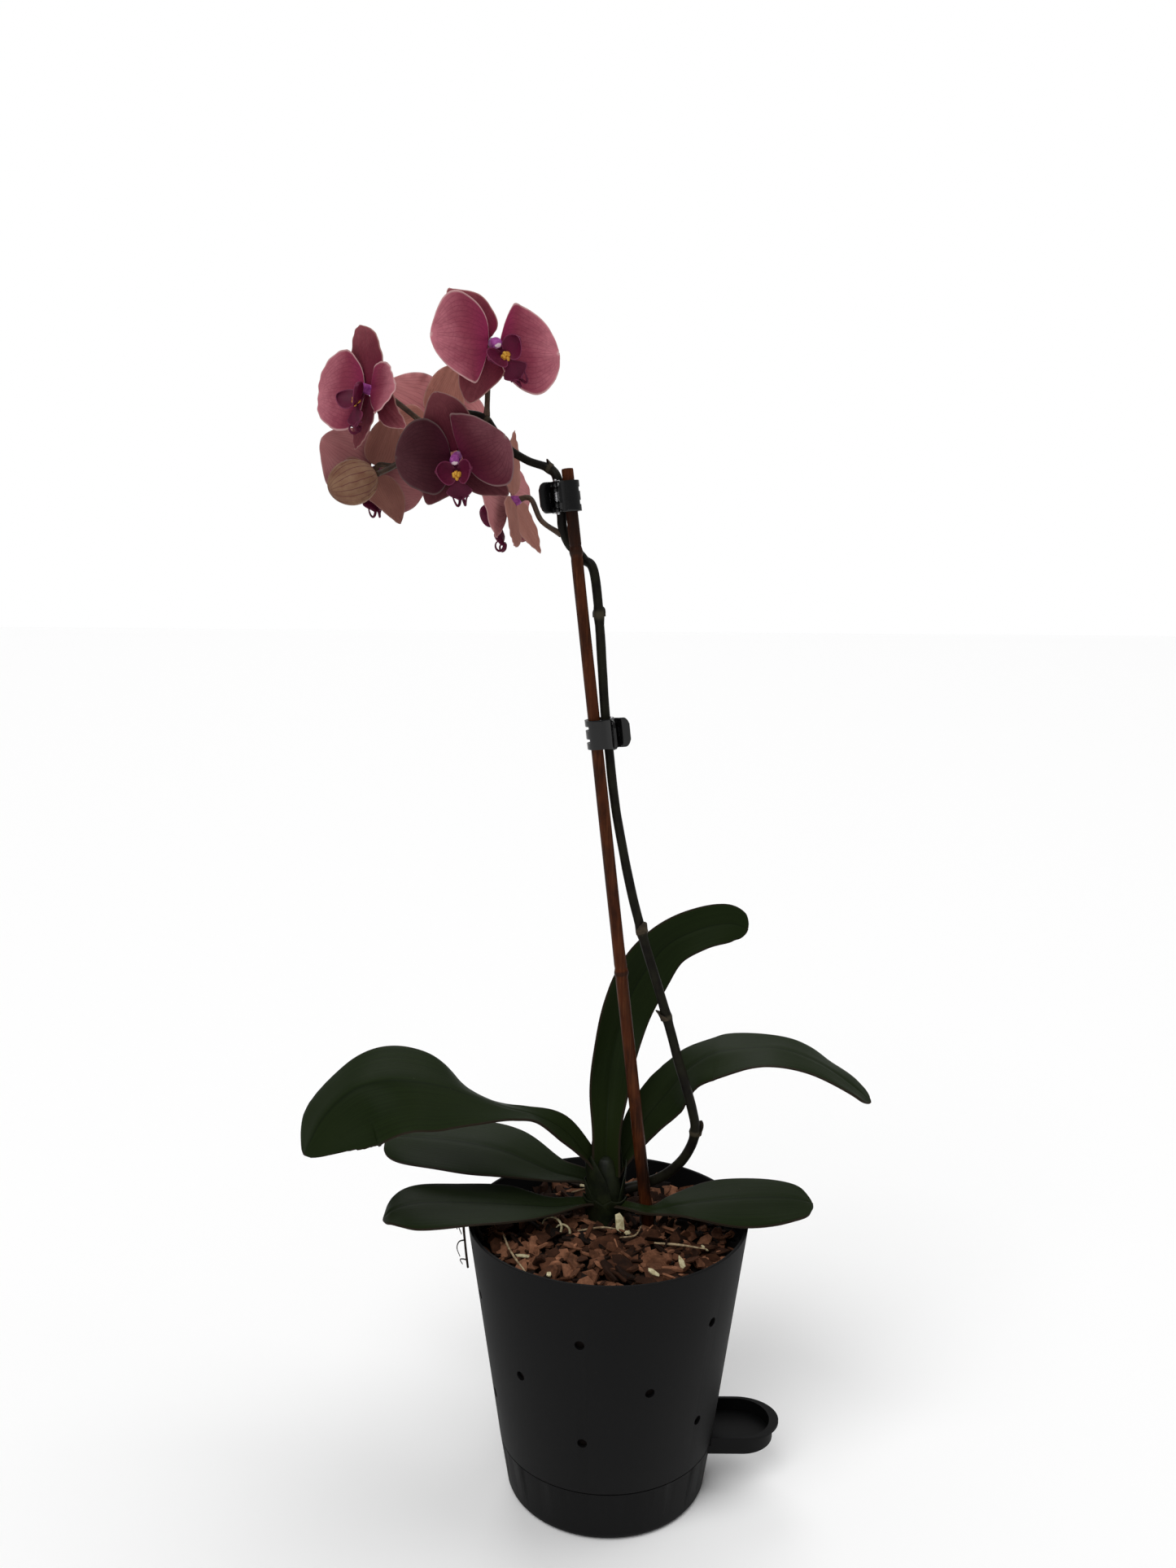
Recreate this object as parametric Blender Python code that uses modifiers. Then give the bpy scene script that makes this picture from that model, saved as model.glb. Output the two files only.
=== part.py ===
"""A moth orchid in flower, in a self-watering pot, with its spike clipped to a bamboo stake.

Metres, +Z up.  The origin is the centre of the reservoir base's flat underside, and +X runs
towards the filler spout.  Plant heights are counted from the bark's surface.
"""
import bmesh
import bpy
from math import cos, pi, radians, sin
from mathutils import Matrix, Vector

GAP = 0.0003                    # between pieces that touch

# Pot body and reservoir base
POT_HEIGHT = 0.150
RIM_RADIUS = 0.075
FOOT_RADIUS = 0.054
POT_WALL = 0.0018
POT_STEPS = 44
SEAM_HEIGHT = 0.0285
FOOT_ROUND = 0.004
BASE_FLOOR = 0.0022
SKIRT_DEPTH = 0.0085
SKIRT_CLEARANCE = 0.0005
POT_FLOOR_RISE = 0.0045         # underside of the pot's floor above the seam
WELL_RADIUS = 0.020
WELL_CLEARANCE = 0.0012         # wicking well above the reservoir's floor
WELL_SLOTS = 6
WELL_SLOT_WIDTH = 0.003
AIR_HOLE_RADIUS = 0.0025
AIR_HOLES_PER_ROW = 6
AIR_HOLE_ROWS = 3
AIR_HOLE_FIRST = 0.0305         # lowest row above the seam
AIR_HOLE_PITCH = 0.0285
AIR_HOLE_START = -102           # degrees

# Filler spout
SPOUT_REACH = 0.0912
SPOUT_HALF_WIDTH = 0.0185
SPOUT_DEPTH = 0.009
SPOUT_RISE = 0.0045             # spout rim above the seam
SPOUT_LIP = 0.0033
SPOUT_LIP_HEIGHT = 0.0014
SPOUT_POT_CLEARANCE = 0.0008
NOTCH_MARGIN = 0.0028           # notch sides inside the spout's inner walls

# Bark
BARK_DROP = 0.010               # bark's surface at the middle, below the rim
BARK_SLOPE = 0.0035
BARK_LUMP = 0.0009
BARK_LEVEL = POT_HEIGHT - BARK_DROP

# Crown, stake and stem
CROWN_X, CROWN_Y = -0.001, 0.015
CROWN_RADIUS = 0.009
CROWN_HEIGHT = 0.046
CROWN_DEPTH = 0.004
STAKE_RADIUS = 0.0030
STAKE_FOOT = Vector((0.022, 0.010, 0.0))      # where it leaves the bark
STAKE_TOP = Vector((-0.024, -0.004, 0.401))
STAKE_BURIED = 0.095
STAKE_NODES = (0.142, 0.360)
STEM_RADIUS = 0.0022

# Clips
CLIP_WALL = 0.0013
CLIP_HEIGHT = 0.015
CLIP_CLEARANCE = 0.00035
PIN_RADIUS = 0.0008
PIN_CLEARANCE = 0.0002
KNUCKLE_RADIUS = 0.0016
PAD_LENGTH = 0.0052
JAW_OPENING = 38                # degrees
PADS_APART = 32                 # degrees between the pads when the clip is open
PAD_ANGLE = (JAW_OPENING + PADS_APART) / 2
CLIP_HEIGHTS = {"upper_clip": 0.387, "lower_clip": 0.269}
CLIP_MOUTHS = {"upper_clip": 60, "lower_clip": 138}
CLIP_TURNED = {"upper_clip": 1, "lower_clip": -1}

# Leaves and flowers
LEAF_THICKNESS = 0.0018
ORGAN_THICKNESS = 0.0007
COLUMN_RADIUS = 0.0026
COLUMN_LENGTH = 0.0115

# Rows: x, y, height, half width, tilt about the midrib, fold of each half (both in degrees)
LEAVES = {
    "leaf_upper_left": {"face": (0, 0, 1), "azimuth": 197, "start": (0.0345, 0.006, -45, 0), "path": [
        (-0.024, 0.004, 0.055, 0.008, -50, 10), (-0.040, -0.005, 0.067, 0.009, -8, 0),
        (-0.053, -0.011, 0.073, 0.013, -1, -8), (-0.069, -0.017, 0.081, 0.020, -9, -13),
        (-0.084, -0.021, 0.088, 0.026, -21, -12), (-0.100, -0.024, 0.092, 0.030, -23, -9),
        (-0.116, -0.027, 0.093, 0.031, -31, -17), (-0.131, -0.030, 0.089, 0.031, -36, -28),
        (-0.145, -0.033, 0.076, 0.025, -34, -24), (-0.154, -0.036, 0.058, 0.011, -25, -10)]},
    "leaf_lower_left": {"face": (0, 0, 1), "azimuth": 160, "start": (0.019, 0.006, -10, 0), "path": [
        (-0.030, 0.022, 0.023, 0.012, -10, 10), (-0.058, 0.033, 0.030, 0.024, -8, 0),
        (-0.082, 0.041, 0.032, 0.028, -6, -4), (-0.104, 0.049, 0.031, 0.026, -7, -5),
        (-0.119, 0.055, 0.029, 0.018, -8, -4), (-0.127, 0.058, 0.027, 0.008, -8, 0)]},
    "leaf_low_left": {"face": (0, 0, 1), "azimuth": 215, "start": (0.010, 0.005, 0, 0), "path": [
        (-0.030, 0.002, 0.0125, 0.010, 0, 8), (-0.052, -0.003, 0.0160, 0.021, 0, 2),
        (-0.078, -0.005, 0.0180, 0.025, -1, -2), (-0.100, -0.007, 0.0185, 0.023, -3, -4),
        (-0.113, -0.009, 0.0160, 0.015, -4, -4), (-0.119, -0.010, 0.0110, 0.007, 0, 0)]},
    "leaf_upright": {"face": (0, -1, 0), "azimuth": 90, "start": (None, 0.008, 0, 30), "path": [
        (0.000, 0.027, 0.066, 0.012, 0, 30), (0.0025, 0.033, 0.088, 0.0135, 8, 26),
        (0.0085, 0.040, 0.110, 0.0155, 14, 18), (0.0185, 0.046, 0.129, 0.0160, 12, 12),
        (0.033, 0.052, 0.145, 0.013, 0, 8), (0.051, 0.056, 0.153, 0.012, -20, 8),
        (0.068, 0.058, 0.156, 0.011, -24, 6), (0.079, 0.059, 0.153, 0.006, -20, 0)]},
    "leaf_right": {"face": (0, 0, 1), "azimuth": 42, "start": (0.026, 0.006, 10, 0), "path": [
        (0.020, 0.030, 0.049, 0.012, 22, 8), (0.033, 0.034, 0.0645, 0.017, 24, 2),
        (0.044, 0.033, 0.0785, 0.020, 22, 0), (0.056, 0.029, 0.0885, 0.022, 18, -6),
        (0.066, 0.025, 0.093, 0.024, 14, -8), (0.085, 0.015, 0.098, 0.026, 1, -6),
        (0.098, 0.008, 0.098, 0.026, -6, -4), (0.112, 0.000, 0.094, 0.023, -11, -3),
        (0.126, -0.007, 0.086, 0.015, -6, 0), (0.136, -0.011, 0.078, 0.007, 0, 0)]},
    "leaf_low_right": {"face": (0, 0, 1), "azimuth": -50, "start": (0.010, 0.004, 0, 0), "path": [
        (0.022, -0.002, 0.0130, 0.0055, 0, 5), (0.038, -0.001, 0.0155, 0.013, 2, 0),
        (0.062, 0.001, 0.0180, 0.023, 4, -4), (0.086, 0.002, 0.0190, 0.024, 5, -5),
        (0.102, 0.002, 0.0180, 0.018, 4, -4), (0.110, 0.002, 0.0155, 0.008, 0, 0)]},
}

# Stem: free stretch up from the crown, then beside the stake, then the arching end
STEM_FREE = [(0.019, 0.0172, 0.019), (0.031, 0.014, 0.026), (0.0405, 0.008, 0.038),
             (0.0460, 0.004, 0.053), (0.0445, 0.003, 0.067), (0.0365, 0.003, 0.095),
             (0.0285, 0.003, 0.124), (0.0130, 0.005, 0.176)]
# Rows: height, azimuth from the stake in degrees, extra distance
STEM_STAKED = [(0.225, 20, 0.0012), (0.258, 20, 0.0006), (0.280, 20, 0.0006), (0.345, 25, 0.0034),
               (0.357, 66, 0.0022), (0.364, 112, 0.0020), (0.372, 142, 0.0012),
               (0.379, 150, 0.0004), (0.395, 150, 0.0004)]
STEM_ARCH = [(-0.033, 0.001, 0.401), (-0.044, 0.001, 0.405), (-0.055, 0.000, 0.412),
             (-0.064, 0.000, 0.424), (-0.072, 0.000, 0.427), (-0.083, 0.000, 0.426),
             (-0.095, 0.000, 0.421), (-0.102, 0.001, 0.409), (-0.107, 0.002, 0.402)]

# Each flower: centre, facing azimuth and elevation, roll, size, how far its left and right petals
# sweep forward, how far its lip turns, and how single organs differ in angle and sweep
FLOWERS = {
    "flower_top": {"centre": (-0.0585, -0.024, 0.456), "facing": (-72, -8), "roll": 20, "size": 1.0,
                   "sweep": (4, 4), "lip": 16,
                   "bend": {"dorsal_sepal": (20, -8), "petal_left": (-16, 0), "petal_right": (-33, 0)},
                   "form": {"petal_left": (-0.28, 1.01, 1.0), "petal_right": (-0.34, 1.08, 1.0)},
                   "pedicel": [(-0.064, 0.000, 0.426), (-0.0635, 0.000, 0.437)]},
    "flower_left": {"centre": (-0.1185, -0.022, 0.4345), "facing": (-138, 7), "roll": 9, "size": 1.0,
                    "sweep": (22, 11), "lip": 0, "bend": {"dorsal_sepal": (8, 16), "petal_right": (-20, 0)},
                    "form": {"petal_right": (0.0, 1.0, 0.62), "petal_left": (0.0, 1.10, 1.0),
                             "sepal_right": (0.0, 1.0, 0.7), "dorsal_sepal": (0.0, 1.08, 1.35)},
                    "pedicel": [(-0.095, 0.000, 0.422), (-0.103, -0.006, 0.428)]},
    "flower_front": {"centre": (-0.0755, -0.034, 0.402), "facing": (-95, -20), "roll": 6, "size": 0.95,
                     "sweep": (8, 8), "lip": 0, "bend": {"dorsal_sepal": (10, 4), "petal_right": (8, 0)},
                     "form": {"petal_left": (0.0, 1.04, 0.95), "petal_right": (-0.22, 0.90, 1.06),
                              "dorsal_sepal": (0.0, 1.05, 1.3)},
                     "pedicel": [(-0.079, 0.000, 0.427), (-0.078, -0.012, 0.418)]},
    "flower_back": {"centre": (-0.094, 0.028, 0.427), "facing": (100, 4), "roll": 24, "size": 1.0,
                    "sweep": (6, 6), "lip": 0, "bend": {"sepal_right": (12, 4)}, "form": {},
                    "pedicel": [(-0.087, 0.000, 0.425), (-0.091, 0.012, 0.427)]},
    "flower_low": {"centre": (-0.122, 0.011, 0.400), "facing": (118, -15), "roll": 24, "size": 0.95,
                   "sweep": (4, 4), "lip": -28, "bend": {}, "form": {},
                   "pedicel": [(-0.107, 0.002, 0.402), (-0.112, 0.003, 0.402)]},
    "flower_right": {"centre": (-0.0530, 0.0135, 0.386), "facing": (162, -6), "roll": 0, "size": 1.08,
                     "sweep": (5, 5), "lip": 0, "bend": {}, "form": {"dorsal_sepal": (0.0, 1.0, 0.88)},
                     "pedicel": [(-0.027, 0.002, 0.369), (-0.037, 0.007, 0.376)]},
}
BUD_CENTRE = (-0.131, -0.021, 0.390)
BUD_RADIUS = 0.011
BUD_STRETCH = 1.12
BUD_PEDICEL = [(-0.104, 0.001, 0.406), (-0.110, -0.009, 0.400), (-0.116, -0.015, 0.396)]

# Organs: angle round the flower, length, half width, depth, sweep, curl, cup, fullness, roundness.
# A fullness below 1 moves the widest place towards the flower's centre.
# A flower's form for an organ: skew, share of the length, share of the width.
ORGANS = {
    "dorsal_sepal": (90, 0.029, 0.0105, -0.0013, -6, -0.05, -0.05, 0.62, 0.66),
    "sepal_left": (-132, 0.028, 0.0100, -0.0013, -6, -0.05, -0.05, 0.62, 0.66),
    "sepal_right": (-48, 0.028, 0.0100, -0.0024, -6, -0.05, -0.05, 0.62, 0.66),
    "petal_left": (172, 0.0275, 0.0197, 0.0005, 0, -0.04, 0.05, 0.76, 0.56),
    "petal_right": (8, 0.0275, 0.0197, 0.0005, 0, -0.04, 0.05, 0.76, 0.56),
}
PLAIN_FORM = (0.0, 1.0, 1.0)
# Lip rows: distance along it, half width, how far its edges curl forward
LIP_LENGTH = 0.021
LIP_ROWS = [(0.00, 0.0013, 0.0), (0.12, 0.0020, 0.0006), (0.26, 0.0062, 0.0040), (0.40, 0.0060, 0.0040),
            (0.52, 0.0028, 0.0012), (0.66, 0.0048, 0.0008), (0.80, 0.0050, 0.0004), (0.92, 0.0026, 0.0),
            (1.00, 0.0011, 0.0)]

ROOT_RADIUS = 0.0011


# ---------------------------------------------------------------- scene, materials and meshes

def clear_scene():
    for item in list(bpy.data.objects):
        bpy.data.objects.remove(item, do_unlink=True)


def new_collection(name):
    collection = bpy.data.collections.new(name)
    bpy.context.scene.collection.children.link(collection)
    return collection


clear_scene()
PARTS = new_collection("potted_orchid")
CUTTERS = new_collection("cutters")


def make_material(name, color, roughness, metallic=0.0):
    material = bpy.data.materials.new(name)
    material.use_nodes = True
    shader = material.node_tree.nodes["Principled BSDF"]
    shader.inputs["Base Color"].default_value = (*color, 1.0)
    shader.inputs["Roughness"].default_value = roughness
    shader.inputs["Metallic"].default_value = metallic
    return material


def add_object(name, mesh, material=None):
    """A part when it has a material, otherwise a cutter."""
    item = bpy.data.objects.new(name, mesh)
    (PARTS if material else CUTTERS).objects.link(item)
    if material:
        item.data.materials.append(material)
    else:
        item.hide_render = True
        item.display_type = "WIRE"
    return item


def mesh_from(bm, name):
    mesh = bpy.data.meshes.new(name)
    bmesh.ops.recalc_face_normals(bm, faces=bm.faces)
    bm.to_mesh(mesh)
    bm.free()
    return mesh


def smooth_shade(item, angle=40):
    item.data.shade_smooth()
    item.data.set_sharp_from_angle(angle=radians(angle))


def evaluated_mesh(item, weld=1e-6):
    """The item's evaluated mesh, welded, with the item itself removed."""
    bpy.context.view_layer.update()
    depsgraph = bpy.context.evaluated_depsgraph_get()
    mesh = bpy.data.meshes.new_from_object(item.evaluated_get(depsgraph))
    bm = bmesh.new()
    bm.from_mesh(mesh)
    bmesh.ops.remove_doubles(bm, verts=bm.verts, dist=weld)
    bm.transform(item.matrix_world)
    bm.to_mesh(mesh)
    bm.free()
    bpy.data.objects.remove(item, do_unlink=True)
    mesh.materials.clear()
    return mesh


def turned(name, profile, steps, material=None):
    """A solid of revolution: the profile runs down its outer side, axis to axis."""
    mesh = bpy.data.meshes.new(name)
    points = [(radius, 0.0, height) for radius, height in profile]
    mesh.from_pydata(points, [(i, i + 1) for i in range(len(points) - 1)], [])
    item = add_object(name, mesh, material)
    screw = item.modifiers.new("turn", "SCREW")
    screw.steps = screw.render_steps = steps
    screw.use_merge_vertices = True
    screw.merge_threshold = 0.00001
    screw.use_smooth_shade = True
    return item


def tube_mesh(name, points, radii, resolution=1):
    """A closed tube through the points, with a radius at each."""
    curve = bpy.data.curves.new(name, "CURVE")
    curve.dimensions = "3D"
    curve.bevel_depth = 1.0
    curve.bevel_resolution = resolution
    curve.use_fill_caps = True
    spline = curve.splines.new("POLY")
    spline.points.add(len(points) - 1)
    for point, place, radius in zip(spline.points, points, radii):
        point.co = (*place, 1.0)
        point.radius = radius
    item = bpy.data.objects.new(name, curve)
    CUTTERS.objects.link(item)
    return evaluated_mesh(item)


def outline_mesh(name, outline, low, high):
    """A flat closed outline, extruded from one height to another."""
    curve = bpy.data.curves.new(name, "CURVE")
    curve.dimensions = "2D"
    curve.fill_mode = "BOTH"
    curve.extrude = (high - low) / 2
    spline = curve.splines.new("POLY")
    spline.points.add(len(outline) - 1)
    for point, (x, y) in zip(spline.points, outline):
        point.co = (x, y, 0.0, 1.0)
    spline.use_cyclic_u = True
    item = bpy.data.objects.new(name, curve)
    item.location.z = (high + low) / 2
    CUTTERS.objects.link(item)
    return evaluated_mesh(item)


def boolean(item, tool, operation):
    modifier = item.modifiers.new(operation.lower(), "BOOLEAN")
    modifier.operation = operation
    modifier.solver = "EXACT"
    modifier.object = tool


def box_mesh(name, low, high):
    bm = bmesh.new()
    bmesh.ops.create_cube(bm, size=1.0)
    for vert in bm.verts:
        vert.co = Vector((low[i] + (high[i] - low[i]) * (vert.co[i] + 0.5) for i in range(3)))
    return mesh_from(bm, name)


def rods_mesh(name, rods, sides):
    """Separate straight rods, each from one end to the other with a radius at each end."""
    bm = bmesh.new()
    for start, end, start_radius, end_radius in rods:
        axis = end - start
        turn = axis.to_track_quat("Z", "Y").to_matrix().to_4x4()
        place = Matrix.Translation((start + end) / 2) @ turn
        bmesh.ops.create_cone(bm, cap_ends=True, segments=sides, radius1=start_radius,
                              radius2=end_radius, depth=axis.length, matrix=place)
    return mesh_from(bm, name)


def smooth_path(rows, per_span):
    """Catmull-Rom points through rows of any length, including both ends."""
    rows = [Vector(row) for row in rows]
    padded = [2 * rows[0] - rows[1], *rows, 2 * rows[-1] - rows[-2]]
    path = []
    for before, start, end, after in zip(padded, padded[1:], padded[2:], padded[3:]):
        for step in range(per_span):
            t = step / per_span
            path.append(0.5 * (2 * start + (end - before) * t
                               + (2 * before - 5 * start + 4 * end - after) * t ** 2
                               + (3 * start - before - 3 * end + after) * t ** 3))
    return path + [rows[-1]]


def above_bark(x, y, height):
    return Vector((x, y, BARK_LEVEL + height))


def polar(degrees, radius, height=0.0):
    return Vector((radius * cos(radians(degrees)), radius * sin(radians(degrees)), height))


# ---------------------------------------------------------------- pot body and reservoir base

def outer_radius(height):
    return FOOT_RADIUS + (RIM_RADIUS - FOOT_RADIUS) * height / POT_HEIGHT


def inner_radius(height):
    return outer_radius(height) - POT_WALL


SKIRT_RADIUS = inner_radius(SEAM_HEIGHT - SKIRT_DEPTH) - SKIRT_CLEARANCE
FLOOR_UNDERSIDE = SEAM_HEIGHT + POT_FLOOR_RISE
FLOOR_TOP = FLOOR_UNDERSIDE + POT_WALL
WELL_BOTTOM = BASE_FLOOR + WELL_CLEARANCE
WELL_FLOOR = WELL_BOTTOM + POT_WALL
SPOUT_RIM = SEAM_HEIGHT + SPOUT_RISE
SPOUT_BOTTOM = SPOUT_RIM - SPOUT_DEPTH
SPOUT_CENTRE = SPOUT_REACH - SPOUT_HALF_WIDTH


def spout_outline(margin, lip=0.0, steps=14):
    """A U from inside the base to the spout's round end, moved in by a margin, out by a lip."""
    across = SPOUT_HALF_WIDTH - margin
    start = SKIRT_RADIUS - SPOUT_HALF_WIDTH * 0.5
    arc = [radians(-90 + 180 * i / steps) for i in range(steps + 1)]
    end = [(SPOUT_CENTRE + (across + lip) * cos(a), across * sin(a)) for a in arc]
    return [(start, -across), *end, (start, across)]


def make_reservoir_base(material):
    arc = [radians(90 * i / 3) for i in range(4)]
    rounded = [(FOOT_RADIUS - FOOT_ROUND * (1 - cos(a)), FOOT_ROUND * (1 - sin(a))) for a in arc]
    blank_top = SEAM_HEIGHT + POT_WALL      # trimmed down to the seam by the pot's seat
    base = turned("reservoir_base", [(0.0, blank_top), (outer_radius(blank_top), blank_top),
                                     *rounded, (0.0, 0.0)], POT_STEPS, material)
    trough = add_object("trough", outline_mesh("trough", spout_outline(0.0), SPOUT_BOTTOM, SPOUT_RIM))
    lip = add_object("trough_lip", outline_mesh("trough_lip", spout_outline(0.0, SPOUT_LIP),
                                                SPOUT_RIM - SPOUT_LIP_HEIGHT, SPOUT_RIM))
    high = SPOUT_RIM + 0.01
    seat = turned("pot_seat", [(0.0, high), (outer_radius(high) + SPOUT_POT_CLEARANCE, high),
                               (outer_radius(SEAM_HEIGHT) + SPOUT_POT_CLEARANCE, SEAM_HEIGHT),
                               (0.0, SEAM_HEIGHT)], POT_STEPS)
    inside = turned("reservoir_space", [(0.0, high), (inner_radius(high), high),
                                        (inner_radius(BASE_FLOOR), BASE_FLOOR), (0.0, BASE_FLOOR)],
                    POT_STEPS)
    channel = add_object("trough_space", outline_mesh("trough_space", spout_outline(POT_WALL),
                                                      SPOUT_BOTTOM + POT_WALL, high))
    boolean(base, trough, "UNION")
    boolean(base, lip, "UNION")
    for tool in (seat, inside, channel):
        boolean(base, tool, "DIFFERENCE")
    weld = base.modifiers.new("weld", "WELD")
    weld.merge_threshold = 0.00002
    return base


def make_pot_body(material):
    shoulder = SEAM_HEIGHT + GAP
    skirt_foot = SEAM_HEIGHT - SKIRT_DEPTH
    profile = [(0.0, WELL_FLOOR), (WELL_RADIUS - POT_WALL, WELL_FLOOR),
               (WELL_RADIUS - POT_WALL, FLOOR_TOP), (inner_radius(FLOOR_TOP), FLOOR_TOP),
               (inner_radius(POT_HEIGHT), POT_HEIGHT), (RIM_RADIUS, POT_HEIGHT),
               (outer_radius(shoulder), shoulder), (SKIRT_RADIUS, shoulder),
               (SKIRT_RADIUS, skirt_foot), (SKIRT_RADIUS - POT_WALL, skirt_foot),
               (SKIRT_RADIUS - POT_WALL, shoulder + POT_WALL),
               (inner_radius(shoulder + POT_WALL), shoulder + POT_WALL),
               (inner_radius(FLOOR_UNDERSIDE), FLOOR_UNDERSIDE), (WELL_RADIUS, FLOOR_UNDERSIDE),
               (WELL_RADIUS, WELL_BOTTOM), (0.0, WELL_BOTTOM)]
    body = turned("pot_body", profile, POT_STEPS, material)

    holes = []
    for row in range(AIR_HOLE_ROWS):
        height = SEAM_HEIGHT + AIR_HOLE_FIRST + row * AIR_HOLE_PITCH
        for number in range(AIR_HOLES_PER_ROW):
            pitch = 360 / AIR_HOLES_PER_ROW
            turn = AIR_HOLE_START + pitch * (number + 0.5 * (row % 2))
            start = polar(turn, inner_radius(height) - POT_WALL, height)
            end = polar(turn, outer_radius(height) + POT_WALL, height)
            holes.append((start, end, AIR_HOLE_RADIUS, AIR_HOLE_RADIUS))
    boolean(body, add_object("air_holes", rods_mesh("air_holes", holes, 10)), "DIFFERENCE")

    slot_bm = bmesh.new()
    reach = 2 * POT_WALL
    low, high = WELL_FLOOR + POT_WALL, FLOOR_UNDERSIDE - 2 * POT_WALL
    for number in range(WELL_SLOTS):
        turn = Matrix.Rotation(2 * pi * (number + 0.5) / WELL_SLOTS, 4, "Z")
        place = turn @ Matrix.Translation((WELL_RADIUS - POT_WALL / 2, 0, (low + high) / 2))
        size = Matrix.Diagonal((reach, WELL_SLOT_WIDTH, high - low, 1))
        bmesh.ops.create_cube(slot_bm, size=1.0, matrix=place @ size)
    boolean(body, add_object("well_slots", mesh_from(slot_bm, "well_slots")), "DIFFERENCE")

    half = SPOUT_HALF_WIDTH - POT_WALL - NOTCH_MARGIN
    notch = box_mesh("spout_notch", (SKIRT_RADIUS - 4 * POT_WALL, -half, skirt_foot - POT_WALL),
                     (outer_radius(SPOUT_RIM) + POT_WALL, half, FLOOR_UNDERSIDE - POT_WALL / 2))
    boolean(body, add_object("spout_notch", notch), "DIFFERENCE")
    return body


# ---------------------------------------------------------------- bark, crown, stake and root

def stake_point(height):
    share = (height - STAKE_FOOT.z) / (STAKE_TOP.z - STAKE_FOOT.z)
    place = STAKE_FOOT.lerp(STAKE_TOP, share)
    return above_bark(place.x, place.y, height)


STAKE_UP = (STAKE_TOP - STAKE_FOOT).normalized()


def bark_height(x, y):
    share = (x * x + y * y) / inner_radius(POT_HEIGHT) ** 2
    lumps = sin(x * 520 + 1.0) * cos(y * 430) + sin((x + y) * 310 + 2.0) * cos((x - y) * 370)
    return BARK_LEVEL - BARK_SLOPE * share + BARK_LUMP * lumps


def make_bark(material):
    edge_height = BARK_LEVEL - BARK_SLOPE
    edge = inner_radius(edge_height) - GAP
    rings = [(edge * share, edge_height) for share in (0.15, 0.30, 0.45, 0.60, 0.75, 0.88)]
    profile = [(0.0, edge_height), *rings, (edge, edge_height),
               (inner_radius(FLOOR_TOP) - GAP, FLOOR_TOP + GAP),
               (WELL_RADIUS - POT_WALL - GAP, FLOOR_TOP + GAP),
               (WELL_RADIUS - POT_WALL - GAP, WELL_FLOOR + GAP), (0.0, WELL_FLOOR + GAP)]
    blank = evaluated_mesh(turned("bark_blank", profile, 32))
    bm = bmesh.new()
    bm.from_mesh(blank)
    for vert in bm.verts:
        if vert.co.z > edge_height - GAP:
            vert.co.z = bark_height(vert.co.x, vert.co.y)
    bmesh.ops.triangulate(bm, faces=bm.faces)
    bark = add_object("bark_bed", mesh_from(bm, "bark_bed"), material)

    top = BARK_LEVEL + 0.02
    low = Vector((CROWN_X, CROWN_Y, BARK_LEVEL - CROWN_DEPTH - GAP))
    pocket = (low, Vector((CROWN_X, CROWN_Y, top)), CROWN_RADIUS + GAP, CROWN_RADIUS + GAP)
    boolean(bark, add_object("crown_pocket", rods_mesh("crown_pocket", [pocket], 18)), "DIFFERENCE")
    hole = (stake_point(-STAKE_BURIED) - STAKE_UP * GAP, stake_point(0.02),
            stake_radius(-STAKE_BURIED) + GAP, stake_radius(0.02) + GAP)
    boolean(bark, add_object("stake_hole", rods_mesh("stake_hole", [hole], 12)), "DIFFERENCE")
    return bark


def make_crown(material):
    low = BARK_LEVEL - CROWN_DEPTH
    high = BARK_LEVEL + CROWN_HEIGHT
    shape = [(0.35, 1.0), (0.66, 0.96), (0.86, 0.80), (0.98, 0.45), (0.96, 0.10)]
    profile = [(0.0, high), *((CROWN_RADIUS * wide, low + (high - low) * up) for wide, up in shape),
               (CROWN_RADIUS * 0.85, low), (0.0, low)]
    crown = turned("crown", profile, 18, material)
    crown.location = (CROWN_X, CROWN_Y, 0.0)
    return crown


def stake_radius(height):
    """The bamboo is thicker at its foot and swells a little at each node."""
    taper = 1.07 - 0.10 * (height + STAKE_BURIED) / (STAKE_TOP.z + STAKE_BURIED)
    return STAKE_RADIUS * taper


def make_stake(material):
    """A straight cane, turned about its own axis and then leaned to its place."""
    lengthwise = 1 / STAKE_UP.z
    heights = [(STAKE_TOP.z, 1.0)]
    for node in reversed(STAKE_NODES):
        heights += [(node + 0.004, 1.0), (node + 0.001, 1.10), (node - 0.001, 1.10), (node - 0.004, 1.0)]
    heights += [(0.0, 1.0), (-STAKE_BURIED, 1.0)]
    profile = [(stake_radius(height) * swell, height * lengthwise) for height, swell in heights]
    profile = [(0.0, profile[0][1]), *profile, (0.0, profile[-1][1])]
    stake = turned("stake", profile, 12, material)
    stake.rotation_mode = "QUATERNION"
    stake.rotation_quaternion = STAKE_UP.to_track_quat("Z", "Y")
    stake.location = stake_point(0.0)
    return stake


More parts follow.
